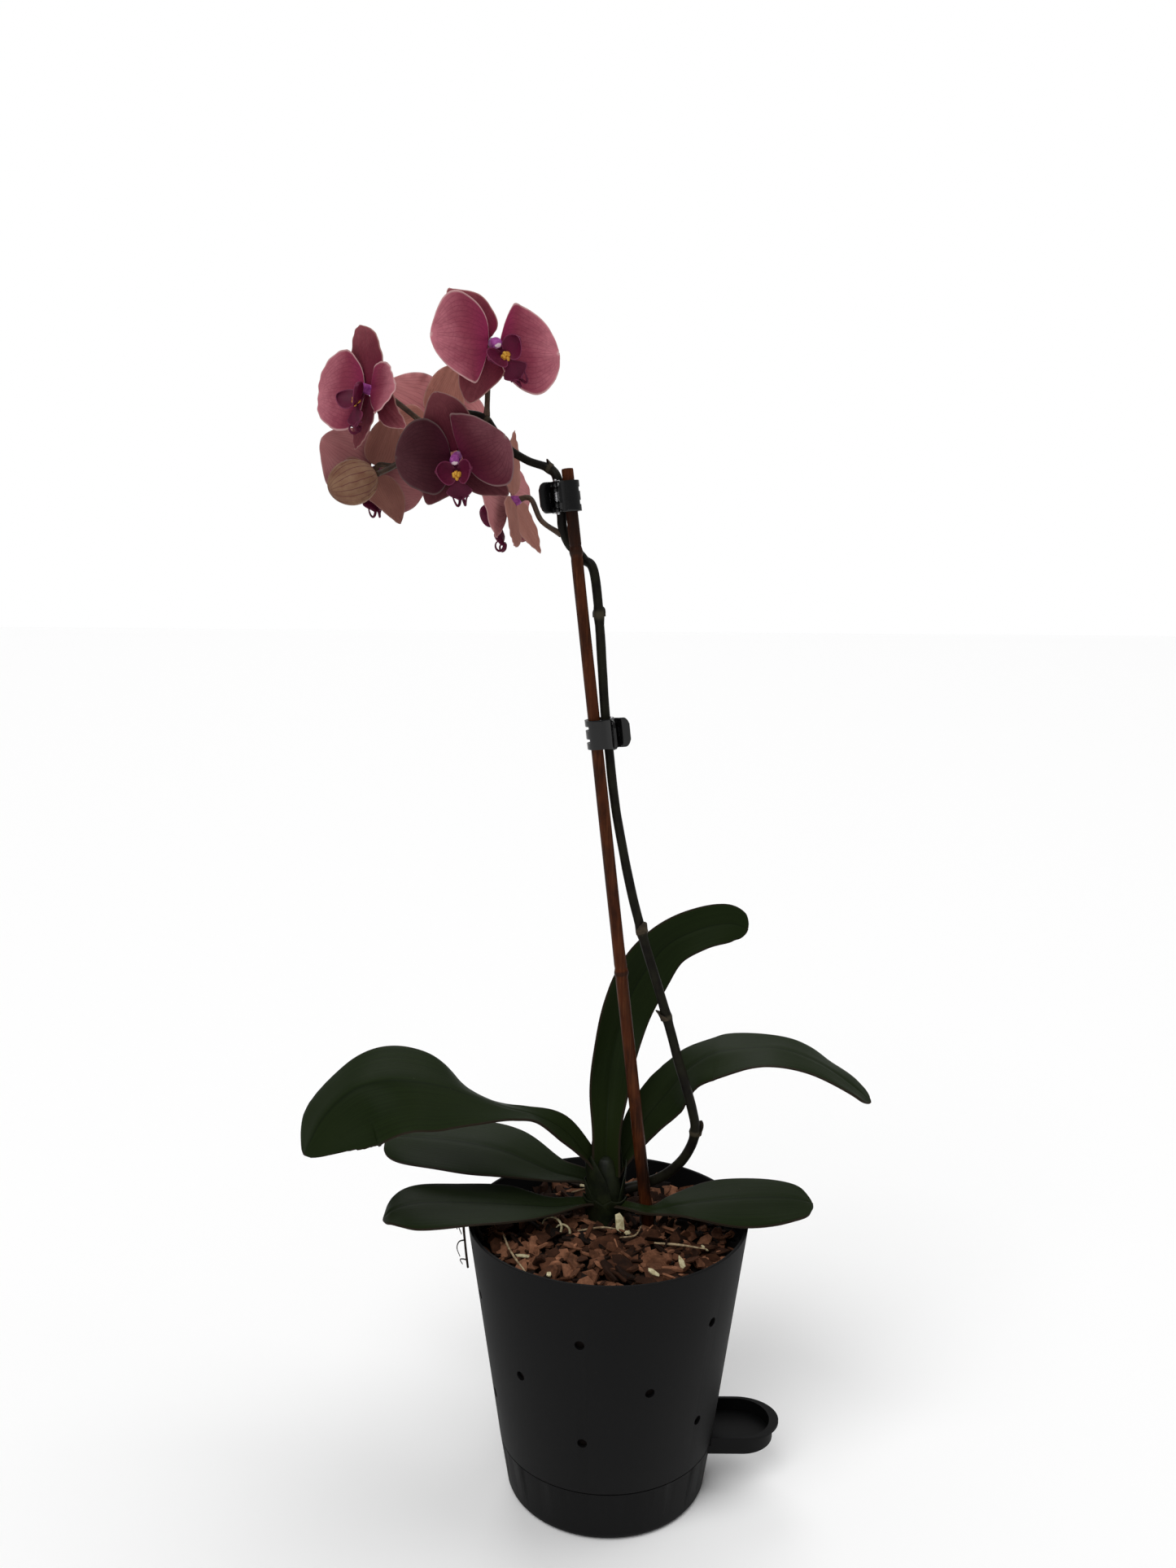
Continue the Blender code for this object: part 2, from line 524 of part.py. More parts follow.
def make_root(material):
    """A dry aerial root that climbs out of the bark, over the rim and down outside."""
    inner = inner_radius(POT_HEIGHT)
    outside = RIM_RADIUS + ROOT_RADIUS + 2 * GAP
    start = bark_height(inner - 0.006, 0.0) + ROOT_RADIUS + GAP + 2.4 * BARK_LUMP
    over = POT_HEIGHT + ROOT_RADIUS + GAP
    rows = [(inner - 0.006, -7, start), (inner - 0.0035, -7, start + 0.006), (inner - 0.0020, -7, over),
            (RIM_RADIUS - POT_WALL / 2, -7, over), (outside + 0.0003, -6, over - 0.0006),
            (outside + 0.0004, -6, POT_HEIGHT - 0.005), (outside - 0.0004, -8, POT_HEIGHT - 0.014),
            (outside - 0.0014, -10, POT_HEIGHT - 0.024)]
    path = smooth_path([polar(180 - turn, radius, height) for radius, turn, height in rows], 2)
    radii = [ROOT_RADIUS * (1 - 0.5 * i / len(path)) for i in range(len(path))]
    root = add_object("root_over_rim", tube_mesh("root_over_rim", path, radii), material)
    smooth_shade(root)
    return root


# ---------------------------------------------------------------- leaves

def leaf_rows(leaf):
    height, half_width, tilt, fold = leaf["start"]
    if height is None:
        first = (CROWN_X, CROWN_Y + CROWN_RADIUS * 0.3, CROWN_HEIGHT + 2 * GAP)
    else:
        side = polar(leaf["azimuth"], CROWN_RADIUS + 2 * GAP)
        first = (CROWN_X + side.x, CROWN_Y + side.y, height)
    return [(*first, half_width, tilt, fold), *leaf["path"]]


def sheet_object(name, columns, rows, shape, thickness, material):
    """A curved sheet: shape(along 0..1, across -1..1) gives its middle surface."""
    bm = bmesh.new()
    bmesh.ops.create_grid(bm, x_segments=columns, y_segments=rows, size=1.0)
    for vert in bm.verts:
        vert.co = shape((vert.co.y + 1) / 2, vert.co.x)
    mesh = bpy.data.meshes.new(name)
    bm.to_mesh(mesh)
    bm.free()
    item = add_object(name, mesh, material)
    solidify = item.modifiers.new("thickness", "SOLIDIFY")
    solidify.thickness = thickness
    solidify.offset = 0.0
    item.data.shade_smooth()
    return item


def make_leaf(name, leaf, material):
    count = 14
    rows = leaf_rows(leaf)
    path = smooth_path(rows, 8)
    face = Vector(leaf["face"])

    def shape(along, across):
        place = along * (len(path) - 1)
        index = min(int(place), len(path) - 2)
        row = path[index].lerp(path[index + 1], place - index)
        ahead = Vector(path[index + 1][:3]) - Vector(path[index][:3])
        sideways = ahead.cross(face).normalized()
        normal = sideways.cross(ahead).normalized()
        turn = Matrix.Rotation(radians(row[4]), 3, ahead)
        sideways, normal = turn @ sideways, turn @ normal
        bend = radians(row[5]) * (1 if row[5] < 0 else abs(across) ** 0.5)
        side = sideways * across * cos(bend) + normal * abs(across) * sin(bend)
        return above_bark(*row[:3]) + side * row[3]

    return sheet_object(name, 4, count, shape, LEAF_THICKNESS, material)


# ---------------------------------------------------------------- stem, flowers and bud

def flower_frame(flower):
    """Columns: the viewer's right, the flower's up, the way it faces, and its centre."""
    azimuth, elevation = (radians(angle) for angle in flower["facing"])
    facing = Vector((cos(elevation) * cos(azimuth), cos(elevation) * sin(azimuth), sin(elevation)))
    up = (Vector((0, 0, 1)) - facing * facing.z).normalized()
    frame = Matrix((up.cross(facing), up, facing)).transposed()
    rolled = Matrix.Rotation(radians(flower["roll"]), 3, facing) @ frame
    size = Matrix.Scale(flower["size"], 4)
    return Matrix.Translation(above_bark(*flower["centre"])) @ rolled.to_4x4() @ size


def stem_rows():
    """Points and radii from the crown to the tip of the flowering end."""
    start = Vector((CROWN_X + CROWN_RADIUS + 2 * GAP, CROWN_Y + 0.0015, BARK_LEVEL + 0.016))
    rows = [(start, 1.30)]
    rows += [(above_bark(*point), 1.27 - 0.02 * i) for i, point in enumerate(STEM_FREE)]
    for height, azimuth, extra in STEM_STAKED:
        beside = STAKE_RADIUS + STEM_RADIUS + 2 * GAP + extra
        rows.append((stake_point(height) + polar(azimuth, beside), 1.0))
    rows += [(above_bark(*point), 0.95 - 0.03 * i) for i, point in enumerate(STEM_ARCH)]
    return [(*place, STEM_RADIUS * share) for place, share in rows]


def tapered_tube(name, rows, per_span, resolution=1):
    path = smooth_path(rows, per_span)
    return tube_mesh(name, [row[:3] for row in path], [row[3] for row in path], resolution)


def column_mesh(name, frame):
    bm = bmesh.new()
    bmesh.ops.create_uvsphere(bm, u_segments=10, v_segments=6, radius=1.0)
    size = Matrix.Diagonal((COLUMN_RADIUS, COLUMN_RADIUS, COLUMN_LENGTH / 2, 1))
    bmesh.ops.transform(bm, matrix=frame @ Matrix.Translation((0, 0, 0.0010)) @ size, verts=bm.verts)
    return mesh_from(bm, name)


def make_spike(material):
    stem = add_object("flower_spike", tapered_tube("flower_spike", stem_rows(), 2, 2), material)
    for name, flower in FLOWERS.items():
        frame = flower_frame(flower)
        behind = frame @ Vector((0, 0, -0.010))
        inside = frame @ Vector((0, 0, -0.002))
        places = [above_bark(*point) for point in flower["pedicel"]] + [behind, inside]
        rows = [(*place, STEM_RADIUS * 0.62) for place in places]
        boolean(stem, add_object(name + "_stalk", tapered_tube(name + "_stalk", rows, 2)), "UNION")
        boolean(stem, add_object(name + "_column", column_mesh(name + "_column", frame)), "UNION")
    rows = [(*above_bark(*point), STEM_RADIUS * 0.62) for point in BUD_PEDICEL]
    boolean(stem, add_object("bud_stalk", tapered_tube("bud_stalk", rows, 2)), "UNION")
    smooth_shade(stem, 60)
    return stem


def make_bud(material):
    centre = above_bark(*BUD_CENTRE)
    stalk_end = above_bark(*BUD_PEDICEL[-1])
    axis = (stalk_end - centre).normalized()
    length = BUD_RADIUS * BUD_STRETCH
    centre = stalk_end - axis * (length + 2 * GAP)
    bm = bmesh.new()
    bmesh.ops.create_uvsphere(bm, u_segments=12, v_segments=8, radius=BUD_RADIUS)
    turn = axis.to_track_quat("Z", "Y").to_matrix().to_4x4()
    size = Matrix.Diagonal((1, 1, BUD_STRETCH, 1))
    bmesh.ops.transform(bm, matrix=Matrix.Translation(centre) @ turn @ size, verts=bm.verts)
    bud = add_object("bud", mesh_from(bm, "bud"), material)
    smooth_shade(bud, 80)
    return bud


def organ_width(along, fullness, roundness):
    return max(0.17, sin(pi * min(1.0, along ** fullness)) ** roundness)


def organ_shape(organ, extra_angle, sweep, form, frame):
    angle, length, half_width, depth, own_sweep, curl, cup, fullness, roundness = organ
    skew, longer, wider = form
    length, half_width = length * longer, half_width * wider
    turn = Matrix.Rotation(radians(angle + extra_angle), 3, "Z")
    lean = radians(sweep + own_sweep)

    def shape(along, across):
        reach = length * along
        side = half_width * organ_width(along, fullness, roundness) * across
        out = COLUMN_RADIUS + GAP + reach * cos(lean) + skew * side * sin(pi * min(0.5, along)) ** 1.5
        lift = depth + reach * sin(lean) + curl * reach * along + cup * side * side / half_width
        return frame @ (turn @ Vector((out, side, lift)))

    return shape


def lip_shape(frame, turn):
    path = smooth_path(LIP_ROWS, 4)
    frame = frame @ Matrix.Rotation(radians(turn), 4, "Z")

    def shape(along, across):
        place = along * (len(path) - 1)
        index = min(int(place), len(path) - 2)
        share, half_width, curl = path[index].lerp(path[index + 1], place - index)
        reach = LIP_LENGTH * share
        down = COLUMN_RADIUS + GAP + reach * 0.78
        forward = 0.0025 + 0.55 * reach * (1 - 0.75 * share) + curl * across * across
        return frame @ Vector((half_width * across, -down, forward))

    return shape


def make_flower(name, flower, petal, lip):
    frame = flower_frame(flower)
    sweeps = dict(zip(("petal_left", "petal_right"), flower["sweep"]))
    for organ, values in ORGANS.items():
        is_petal = organ in sweeps
        extra_angle, extra_sweep = flower["bend"].get(organ, (0, 0))
        form = flower["form"].get(organ, PLAIN_FORM)
        shape = organ_shape(values, extra_angle, sweeps.get(organ, 0) + extra_sweep, form, frame)
        columns, rows = (4, 6) if is_petal else (2, 6)
        sheet_object(name + "_" + organ, columns, rows, shape, ORGAN_THICKNESS, petal)
    sheet_object(name + "_lip", 2, 12, lip_shape(frame, flower["lip"]), ORGAN_THICKNESS, lip)


# ---------------------------------------------------------------- clips

def clip_frame(name):
    """The clip's own axes: X into its mouth, Z along its pin, origin on the pin."""
    height = CLIP_HEIGHTS[name]
    nearest = min(STEM_STAKED, key=lambda row: abs(row[0] - height))
    apart = STAKE_RADIUS + STEM_RADIUS + 2 * GAP + nearest[2]
    middle = stake_point(height) + polar(nearest[1], (apart + STEM_RADIUS - STAKE_RADIUS) / 2)
    along = STAKE_UP * CLIP_TURNED[name]
    mouth = polar(CLIP_MOUTHS[name], 1.0)
    mouth = (mouth - along * mouth.dot(along)).normalized()
    frame = Matrix((mouth, along.cross(mouth), along)).transposed().to_4x4()
    return Matrix.Translation(middle - mouth * mouth_centre(nearest[2])) @ frame


def grip_radius(extra):
    return STAKE_RADIUS * 1.03 + STEM_RADIUS + GAP + extra / 2 + CLIP_CLEARANCE


def mouth_centre(extra):
    return KNUCKLE_RADIUS + 2 * GAP + grip_radius(extra)


def jaw_mesh(name, side, extra, knuckles):
    """One jaw: a bent strip for pad, bridge and fingers, with knuckles round the pin."""
    middle = grip_radius(extra) + CLIP_WALL / 2
    centre = mouth_centre(extra)
    bridge = KNUCKLE_RADIUS + 2 * GAP + CLIP_WALL / 2
    lean = radians(PAD_ANGLE)
    arc = [radians(204 + i * (354 - 204) / 8) for i in range(9)]
    strip = [(-(bridge + PAD_LENGTH) * cos(lean), -bridge - PAD_LENGTH * sin(lean)),
             (-(bridge + PAD_LENGTH * 0.5) * cos(lean), -bridge - PAD_LENGTH * 0.5 * sin(lean)),
             (-bridge * 0.7, -bridge * 1.08), (bridge * 0.3, -bridge * 1.08)]
    strip += [(centre + middle * cos(a), middle * sin(a)) for a in arc if middle * sin(a) < -bridge]
    strip += [(centre + middle * cos(a), middle * sin(a)) for a in arc[5:] if middle * sin(a) >= -bridge]
    bm = bmesh.new()
    levels = [CLIP_HEIGHT * share for share in (-0.5, -0.32, -0.12, 0.12, 0.32, 0.5)]
    grid = []
    for index, (x, y) in enumerate(strip):
        narrow = 0.62 if index == 0 else 1.0
        grid.append([bm.verts.new((x, -y * side, z * narrow)) for z in levels])
    fingers_from = len(strip) - 5
    for i in range(len(strip) - 1):
        for j in range(len(levels) - 1):
            if i >= fingers_from and j in (1, 3):
                continue
            bm.faces.new((grid[i][j], grid[i + 1][j], grid[i + 1][j + 1], grid[i][j + 1]))
    bmesh.ops.recalc_face_normals(bm, faces=bm.faces)
    mesh = bpy.data.meshes.new(name)
    bm.to_mesh(mesh)
    bm.free()
    blank = add_object(name + "_strip", mesh)
    solidify = blank.modifiers.new("thickness", "SOLIDIFY")
    solidify.thickness = CLIP_WALL
    solidify.offset = 0.0
    jaw = add_object(name + "_blank", evaluated_mesh(blank))
    for number, (low, high) in enumerate(knuckles):
        ends = Vector((0, 0, low)), Vector((0, 0, high))
        ring = add_object(f"{name}_knuckle_{number}",
                          rods_mesh("knuckle", [(*ends, KNUCKLE_RADIUS, KNUCKLE_RADIUS)], 8))
        web = box_mesh("web", (-KNUCKLE_RADIUS * 0.6, min(0, side * bridge), low),
                       (KNUCKLE_RADIUS * 0.6, max(0, side * bridge), high))
        boolean(jaw, ring, "UNION")
        boolean(jaw, add_object(f"{name}_web_{number}", web), "UNION")
    reach = Vector((0, 0, CLIP_HEIGHT))
    bore = rods_mesh("bore", [(-reach, reach, PIN_RADIUS + PIN_CLEARANCE, PIN_RADIUS + PIN_CLEARANCE)], 10)
    boolean(jaw, add_object(name + "_bore", bore), "DIFFERENCE")
    return evaluated_mesh(jaw)


def make_clip(name, plastic, steel):
    frame = clip_frame(name)
    nearest = min(STEM_STAKED, key=lambda row: abs(row[0] - CLIP_HEIGHTS[name]))
    outer, inner, spring_end = CLIP_HEIGHT * 0.5, CLIP_HEIGHT * 0.34, CLIP_HEIGHT * 0.16
    slack = 0.0002
    front = [(-inner + slack, -spring_end), (spring_end, inner - slack)]
    rear = [(-outer, -inner), (inner, outer)]
    for jaw, side, knuckles in (("front_jaw", -1, front), ("rear_jaw", 1, rear)):
        full_name = f"{name}_{jaw}"
        item = add_object(full_name, jaw_mesh(full_name, side, nearest[2], knuckles), plastic)
        item.matrix_world = frame
        smooth_shade(item, 35)
    end = Vector((0, 0, outer + 0.0006))
    pin = add_object(name + "_pin", rods_mesh("pin", [(-end, end, PIN_RADIUS, PIN_RADIUS)], 10), steel)
    pin.matrix_world = frame

    turns, per_turn, wire = 4, 8, 0.00022
    coil = []
    for step in range(turns * per_turn + 1):
        angle = 2 * pi * step / per_turn
        rise = (spring_end - 0.0005) * (2 * step / (turns * per_turn) - 1)
        coil.append(polar(angle * 180 / pi, PIN_RADIUS + wire + 0.00025, rise))
    spring = add_object(name + "_spring", tube_mesh("spring", coil, [wire] * len(coil), 0), steel)
    spring.matrix_world = frame


# ---------------------------------------------------------------- the whole object

def main():
    plastic = make_material("matte_black_plastic", (0.018, 0.018, 0.019), 0.55)
    bark_brown = make_material("bark", (0.115, 0.045, 0.025), 0.9)
    crown_green = make_material("crown_green", (0.020, 0.035, 0.012), 0.5)
    leaf_green = make_material("leaf_green", (0.022, 0.045, 0.014), 0.42)
    bamboo = make_material("bamboo", (0.19, 0.055, 0.017), 0.5)
    stem_green = make_material("stem_green", (0.028, 0.026, 0.018), 0.5)
    petal_pink = make_material("petal_pink", (0.33, 0.085, 0.13), 0.6)
    lip_purple = make_material("lip_purple", (0.11, 0.008, 0.055), 0.5)
    bud_olive = make_material("bud_olive", (0.20, 0.13, 0.07), 0.6)
    root_brown = make_material("root_brown", (0.05, 0.03, 0.02), 0.85)
    clip_black = make_material("clip_black", (0.008, 0.008, 0.009), 0.15)
    spring_steel = make_material("spring_steel", (0.45, 0.45, 0.46), 0.3, 1.0)

    make_reservoir_base(plastic)
    make_pot_body(plastic)
    make_bark(bark_brown)
    make_crown(crown_green)
    make_stake(bamboo)
    make_root(root_brown)
    for name, leaf in LEAVES.items():
        make_leaf(name, leaf, leaf_green)
    make_spike(stem_green)
    make_bud(bud_olive)
    for name, flower in FLOWERS.items():
        make_flower(name, flower, petal_pink, lip_purple)
    for name in CLIP_HEIGHTS:
        make_clip(name, clip_black, spring_steel)


main()
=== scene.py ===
import bmesh
import bpy
import random
from math import cos, exp, pi, radians, sin, sqrt
from mathutils import Matrix, Vector, noise


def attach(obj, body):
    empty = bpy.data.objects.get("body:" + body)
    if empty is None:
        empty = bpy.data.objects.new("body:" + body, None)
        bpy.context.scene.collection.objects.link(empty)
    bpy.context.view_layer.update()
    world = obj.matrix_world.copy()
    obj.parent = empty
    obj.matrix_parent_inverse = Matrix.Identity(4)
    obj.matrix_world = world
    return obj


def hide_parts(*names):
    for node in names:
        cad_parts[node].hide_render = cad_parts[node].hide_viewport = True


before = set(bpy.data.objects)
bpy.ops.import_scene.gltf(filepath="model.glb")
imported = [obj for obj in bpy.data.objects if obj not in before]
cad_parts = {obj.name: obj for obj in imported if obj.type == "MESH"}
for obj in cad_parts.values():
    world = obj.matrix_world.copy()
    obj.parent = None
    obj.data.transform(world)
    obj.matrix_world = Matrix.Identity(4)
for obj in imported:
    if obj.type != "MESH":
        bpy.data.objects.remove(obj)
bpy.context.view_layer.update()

print("frame loaded:", len(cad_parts), "nodes")

gap = 0.0003  # left between pieces that meet
plant = "plant"  # the body of everything but the clips' front jaws


# shader helpers

class Wire:
    # a node's output that sums can be written with
    def __init__(self, finish, socket):
        self.finish, self.socket = finish, socket

    def calc(self, operation, *values):
        return self.finish.node("Math", {"operation": operation}, dict(enumerate(values)))

    __add__ = lambda self, other: self.calc("ADD", self, other)
    __radd__ = lambda self, other: self.calc("ADD", other, self)
    __sub__ = lambda self, other: self.calc("SUBTRACT", self, other)
    __rsub__ = lambda self, other: self.calc("SUBTRACT", other, self)
    __mul__ = lambda self, other: self.calc("MULTIPLY", self, other)
    __rmul__ = lambda self, other: self.calc("MULTIPLY", other, self)
    __abs__ = lambda self: self.calc("ABSOLUTE", self)


class Finish:
    # one material: a Principled shader and what feeds it
    def __init__(self, name, settings):
        self.material = bpy.data.materials.new(name)
        self.material.use_nodes = True
        self.nodes = self.material.node_tree.nodes
        self.links = self.material.node_tree.links
        self.shader = self.nodes["Principled BSDF"]
        for key, value in settings.items():
            self.set(key, value)

    def feed(self, socket, value):
        if isinstance(value, Wire):
            self.links.new(value.socket, socket)
        else:
            socket.default_value = (*value[:3], 1.0) if socket.type == "RGBA" else value

    def set(self, socket, value):
        self.feed(self.shader.inputs[socket], value)

    def node(self, kind, settings=None, inputs=None, output=0):
        made = self.nodes.new("ShaderNode" + kind)
        for key, value in (settings or {}).items():
            if key == "stops":
                self.setStops(made.color_ramp, value)
            else:
                setattr(made, key, value)
        for key, value in (inputs or {}).items():
            self.feed(made.inputs[key], value)
        return Wire(self, made.outputs[output])

    def setStops(self, ramp, stops):
        ramp.elements.remove(ramp.elements[1])
        for number, (position, color) in enumerate(stops):
            stop = ramp.elements[0] if number == 0 else ramp.elements.new(position)
            stop.position = position
            stop.color = (*color, 1.0)

    def place(self, stretch=(1, 1, 1)):
        return self.node("Mapping", {}, {"Vector": self.node("TexCoord", output="Object"), "Scale": stretch})

    def mark(self, name):
        read = self.node("Attribute", {"attribute_name": name}, output="Vector")
        return [self.node("SeparateXYZ", {}, {0: read}, output=i) for i in range(3)]

    def speckle(self, scale, detail=3, roughness=0.55, where=None):
        return self.node("TexNoise", {}, {"Vector": where or self.place(), "Scale": scale, "Detail": detail,
                                          "Roughness": roughness})

    def cells(self, scale):
        return self.node("TexVoronoi", {"feature": "DISTANCE_TO_EDGE"}, {"Vector": self.place(), "Scale": scale})

    def stripes(self, count):
        # 0 on each line that count numbers, 1 halfway between two
        return abs(self.node("Math", {"operation": "SINE"}, {0: count * pi}))

    def step(self, value, low, high, start=0.0, end=1.0):
        return self.node("MapRange", {"interpolation_type": "SMOOTHSTEP"},
                         {"Value": value, "From Min": low, "From Max": high, "To Min": start, "To Max": end})

    def mix(self, factor, first, second):
        return self.node("Mix", {"data_type": "RGBA"}, {0: factor, 6: first, 7: second}, output=2)

    def layers(self, color, *coats):
        # each coat is a mask and the colour it lays over those below
        for mask, above in coats:
            color = self.mix(mask, color, above)
        return color

    def tint(self, color, amount):
        # darker or lighter by a plain factor
        return self.node("VectorMath", {"operation": "SCALE"}, {0: color, "Scale": amount})

    def coat(self, color, roughness, height, distance, strength=0.6):
        # the skin's colour, roughness and bump
        self.set("Base Color", color)
        self.set("Roughness", roughness)
        self.set("Normal", self.node("Bump", {}, {"Height": height, "Distance": distance,
                                                  "Strength": strength}))
        return self


# mesh helpers

def newObject(name, data):
    made = bpy.data.objects.new(name, data)
    bpy.context.scene.collection.objects.link(made)
    return made


class Shape:
    # points and faces gathered for one piece; each point carries two marks for its finish
    def __init__(self):
        self.points, self.faces, self.place, self.shade = [], [], [], []

    def add(self, points, faces, place, shade):
        base = len(self.points)
        self.points += [Vector(p) for p in points]
        self.faces += [[base + i for i in face] for face in faces]
        self.place += place
        self.shade += shade
        return self

    def piece(self, name, finish, slot, nodes=(), smooth=60):
        mesh = bpy.data.meshes.new(name)
        mesh.from_pydata(self.points, [], self.faces)
        for mark, values in (("place", self.place), ("shade", self.shade)):
            layer = mesh.attributes.new(mark, "FLOAT_VECTOR", "POINT")
            layer.data.foreach_set("vector", [c for value in values for c in value])
        bm = bmesh.new()
        bm.from_mesh(mesh)
        bmesh.ops.remove_doubles(bm, verts=bm.verts, dist=1e-6)
        bmesh.ops.recalc_face_normals(bm, faces=bm.faces)
        bm.to_mesh(mesh)
        bm.free()
        smoothUp(mesh, smooth)
        settle(newObject(name, mesh), finish, nodes)


def smoothUp(mesh, angle):
    mesh.shade_smooth()
    mesh.set_sharp_from_angle(angle=radians(angle))


def settle(piece, finish, nodes=(), body=plant):
    piece.data.materials.clear()
    piece.data.materials.append(finish.material)
    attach(piece, body)
    if nodes:
        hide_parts(*nodes)


def smoothPath(rows, perSpan):
    # Catmull-Rom points through rows of any length
    rows = [Vector(row) for row in rows]
    padded = [2 * rows[0] - rows[1], *rows, 2 * rows[-1] - rows[-2]]
    path = []
    for before, start, end, after in zip(padded, padded[1:], padded[2:], padded[3:]):
        for number in range(perSpan):
            t = number / perSpan
            path.append(0.5 * (2 * start + (end - before) * t
                               + (2 * before - 5 * start + 4 * end - after) * t ** 2
                               + (3 * start - before - 3 * end + after) * t ** 3))
    return path + [rows[-1]]


def polar(degrees, radius, height=0.0):
    return Vector((radius * cos(radians(degrees)), radius * sin(radians(degrees)), height))


def slab(shape, surface, thickness, rows, columns, edge=0.4, ease=1.0, relief=None, tone=1.0, chance=0.0):
    # a curved sheet with a rounded rim; surface(u, v) gives its middle, u 0..1 and v -1..1
    us = [1 - (1 - i / rows) ** ease for i in range(rows + 1)]
    vs = [sin(pi / 2 * v) * 0.25 + v * 0.75 for v in (-1 + 2 * j / columns for j in range(columns + 1))]
    middle = [[surface(u, v) for v in vs] for u in us]
    points, place, shade, faces, normals = [], [], [], [], []
    for i, row in enumerate(middle):
        line = []
        for j in range(len(row)):
            along = middle[min(i + 1, rows)][j] - middle[max(i - 1, 0)][j]
            normal = along.cross(row[min(j + 1, columns)] - row[max(j - 1, 0)])
            if normal.length < 1e-12:
                normal = normals[-1][j] if normals else Vector((0, 0, 1))
            line.append(normal.normalized())
        normals.append(line)
    for side in (1, -1):
        for i, u in enumerate(us):
            for j, v in enumerate(vs):
                spot = middle[i][j]
                rim = max(abs(v), 2 * u - 1 if u > 0.5 else 0.0)
                full = edge + (1 - edge) * sqrt(max(0.0, 1 - rim ** 6))
                offset = side * thickness / 2 * full + (relief(u, v, side) if relief else 0.0)
                points.append(spot + normals[i][j] * offset)
                place.append((u, v, side))
                toRim = min((spot - middle[i][0 if v < 0 else columns]).length,
                            (spot - middle[rows][j]).length * 0.8)
                shade.append((toRim * 1000, tone, chance))
    count = (rows + 1) * (columns + 1)
    spot = lambda i, j, side: i * (columns + 1) + j + (0 if side > 0 else count)
    for i in range(rows):
        for j in range(columns):
            faces.append((spot(i, j, 1), spot(i + 1, j, 1), spot(i + 1, j + 1, 1), spot(i, j + 1, 1)))
            faces.append((spot(i, j, -1), spot(i, j + 1, -1), spot(i + 1, j + 1, -1), spot(i + 1, j, -1)))
    rimLoop = [(i, 0) for i in range(rows)] + [(rows, j) for j in range(columns)]
    rimLoop += [(rows - i, columns) for i in range(rows)] + [(0, columns - j) for j in range(columns)]
    for (i, j), (k, l) in zip(rimLoop, rimLoop[1:] + rimLoop[:1]):
        faces.append((spot(i, j, 1), spot(i, j, -1), spot(k, l, -1), spot(k, l, 1)))
    return shape.add(points, faces, place, shade)


def tube(shape, rows, sides=16, tone=1.0, chance=0.0, wobble=0.0, marks=None):
    # a closed round tube through rows of x, y, z, radius, with rounded ends
    path = [Vector(row[:3]) for row in rows]
    radii = [row[3] for row in rows]
    last = len(path) - 1
    ahead = [(path[min(i + 1, last)] - path[max(i - 1, 0)]).normalized() for i in range(len(path))]
    side = ahead[0].orthogonal().normalized()
    points, place, shade, faces, run = [], [], [], [], 0.0
    cap, tuck = [(-0.92, 0.4), (-0.7, 0.72), (-0.35, 0.93)], 0.35
    rings = [(path[0] + ahead[0] * radii[0] * (back + tuck), ahead[0], radii[0] * wide, 0) for back, wide in cap]
    rings += [(p, a, r, i) for i, (p, a, r) in enumerate(zip(path, ahead, radii))]
    rings += [(path[-1] - ahead[-1] * radii[-1] * (back + tuck), ahead[-1], radii[-1] * wide, last)
              for back, wide in reversed(cap)]
    before = None
    for centre, along, radius, index in rings:
        side = (side - along * side.dot(along)).normalized()
        other = along.cross(side)
        run += (centre - before).length if before else 0.0
        before = centre
        for k in range(sides):
            angle = 2 * pi * k / sides
            uneven = 1 + wobble * noise.noise(Vector((cos(angle), sin(angle), run * 90 + chance * 7)))
            points.append(centre + (side * cos(angle) + other * sin(angle)) * radius * uneven)
            place.append((run, k / sides, marks[index] if marks else 0.0))
            shade.append((radius * 1000, tone, chance))
    for low in range(0, (len(rings) - 1) * sides, sides):
        for k in range(sides):
            nextK = (k + 1) % sides
            faces.append((low + k, low + nextK, low + sides + nextK, low + sides + k))
    faces.append(list(range(sides))[::-1])
    faces.append([(len(rings) - 1) * sides + k for k in range(sides)])
    return shape.add(points, faces, place, shade)


def lathe(shape, profile, steps, matrix=None, marks=None, swell=None):
    # a solid turned about Z; the profile's ends lie on the axis
    points, place, shade, faces = [], [], [], []
    inner = profile[1:-1]
    for index, (radius, height) in enumerate(inner):
        for k in range(steps):
            angle = 2 * pi * k / steps
            wide = radius * (swell(angle, height) if swell else 1.0)
            points.append(Vector((wide * cos(angle), wide * sin(angle), height)))
            place.append((height, k / steps, marks[index] if marks else 0.0))
            shade.append((radius * 1000, 1.0, 0.0))
    for end in (profile[0], profile[-1]):
        points.append(Vector((0, 0, end[1])))
        place.append((end[1], 0.0, 0.0))
        shade.append((0.0, 1.0, 0.0))
    top, low, base = len(points) - 2, len(points) - 1, (len(inner) - 1) * steps
    for k in range(steps):
        nextK = (k + 1) % steps
        for i in range(len(inner) - 1):
            faces.append((i * steps + k, (i + 1) * steps + k, (i + 1) * steps + nextK, i * steps + nextK))
        faces += [(top, k, nextK), (low, base + nextK, base + k)]
    if matrix:
        points = [matrix @ point for point in points]
    return shape.add(points, faces, place, shade)


def ball(shape, matrix, across, rings, dent):
    profile = [(sin(pi * i / rings), cos(pi * i / rings)) for i in range(rings + 1)]
    return lathe(shape, profile, across, matrix, swell=dent)


def rawMesh(name, points, faces):
    mesh = bpy.data.meshes.new(name)
    mesh.from_pydata([Vector(p) for p in points], [], faces)
    return newObject(name, mesh)


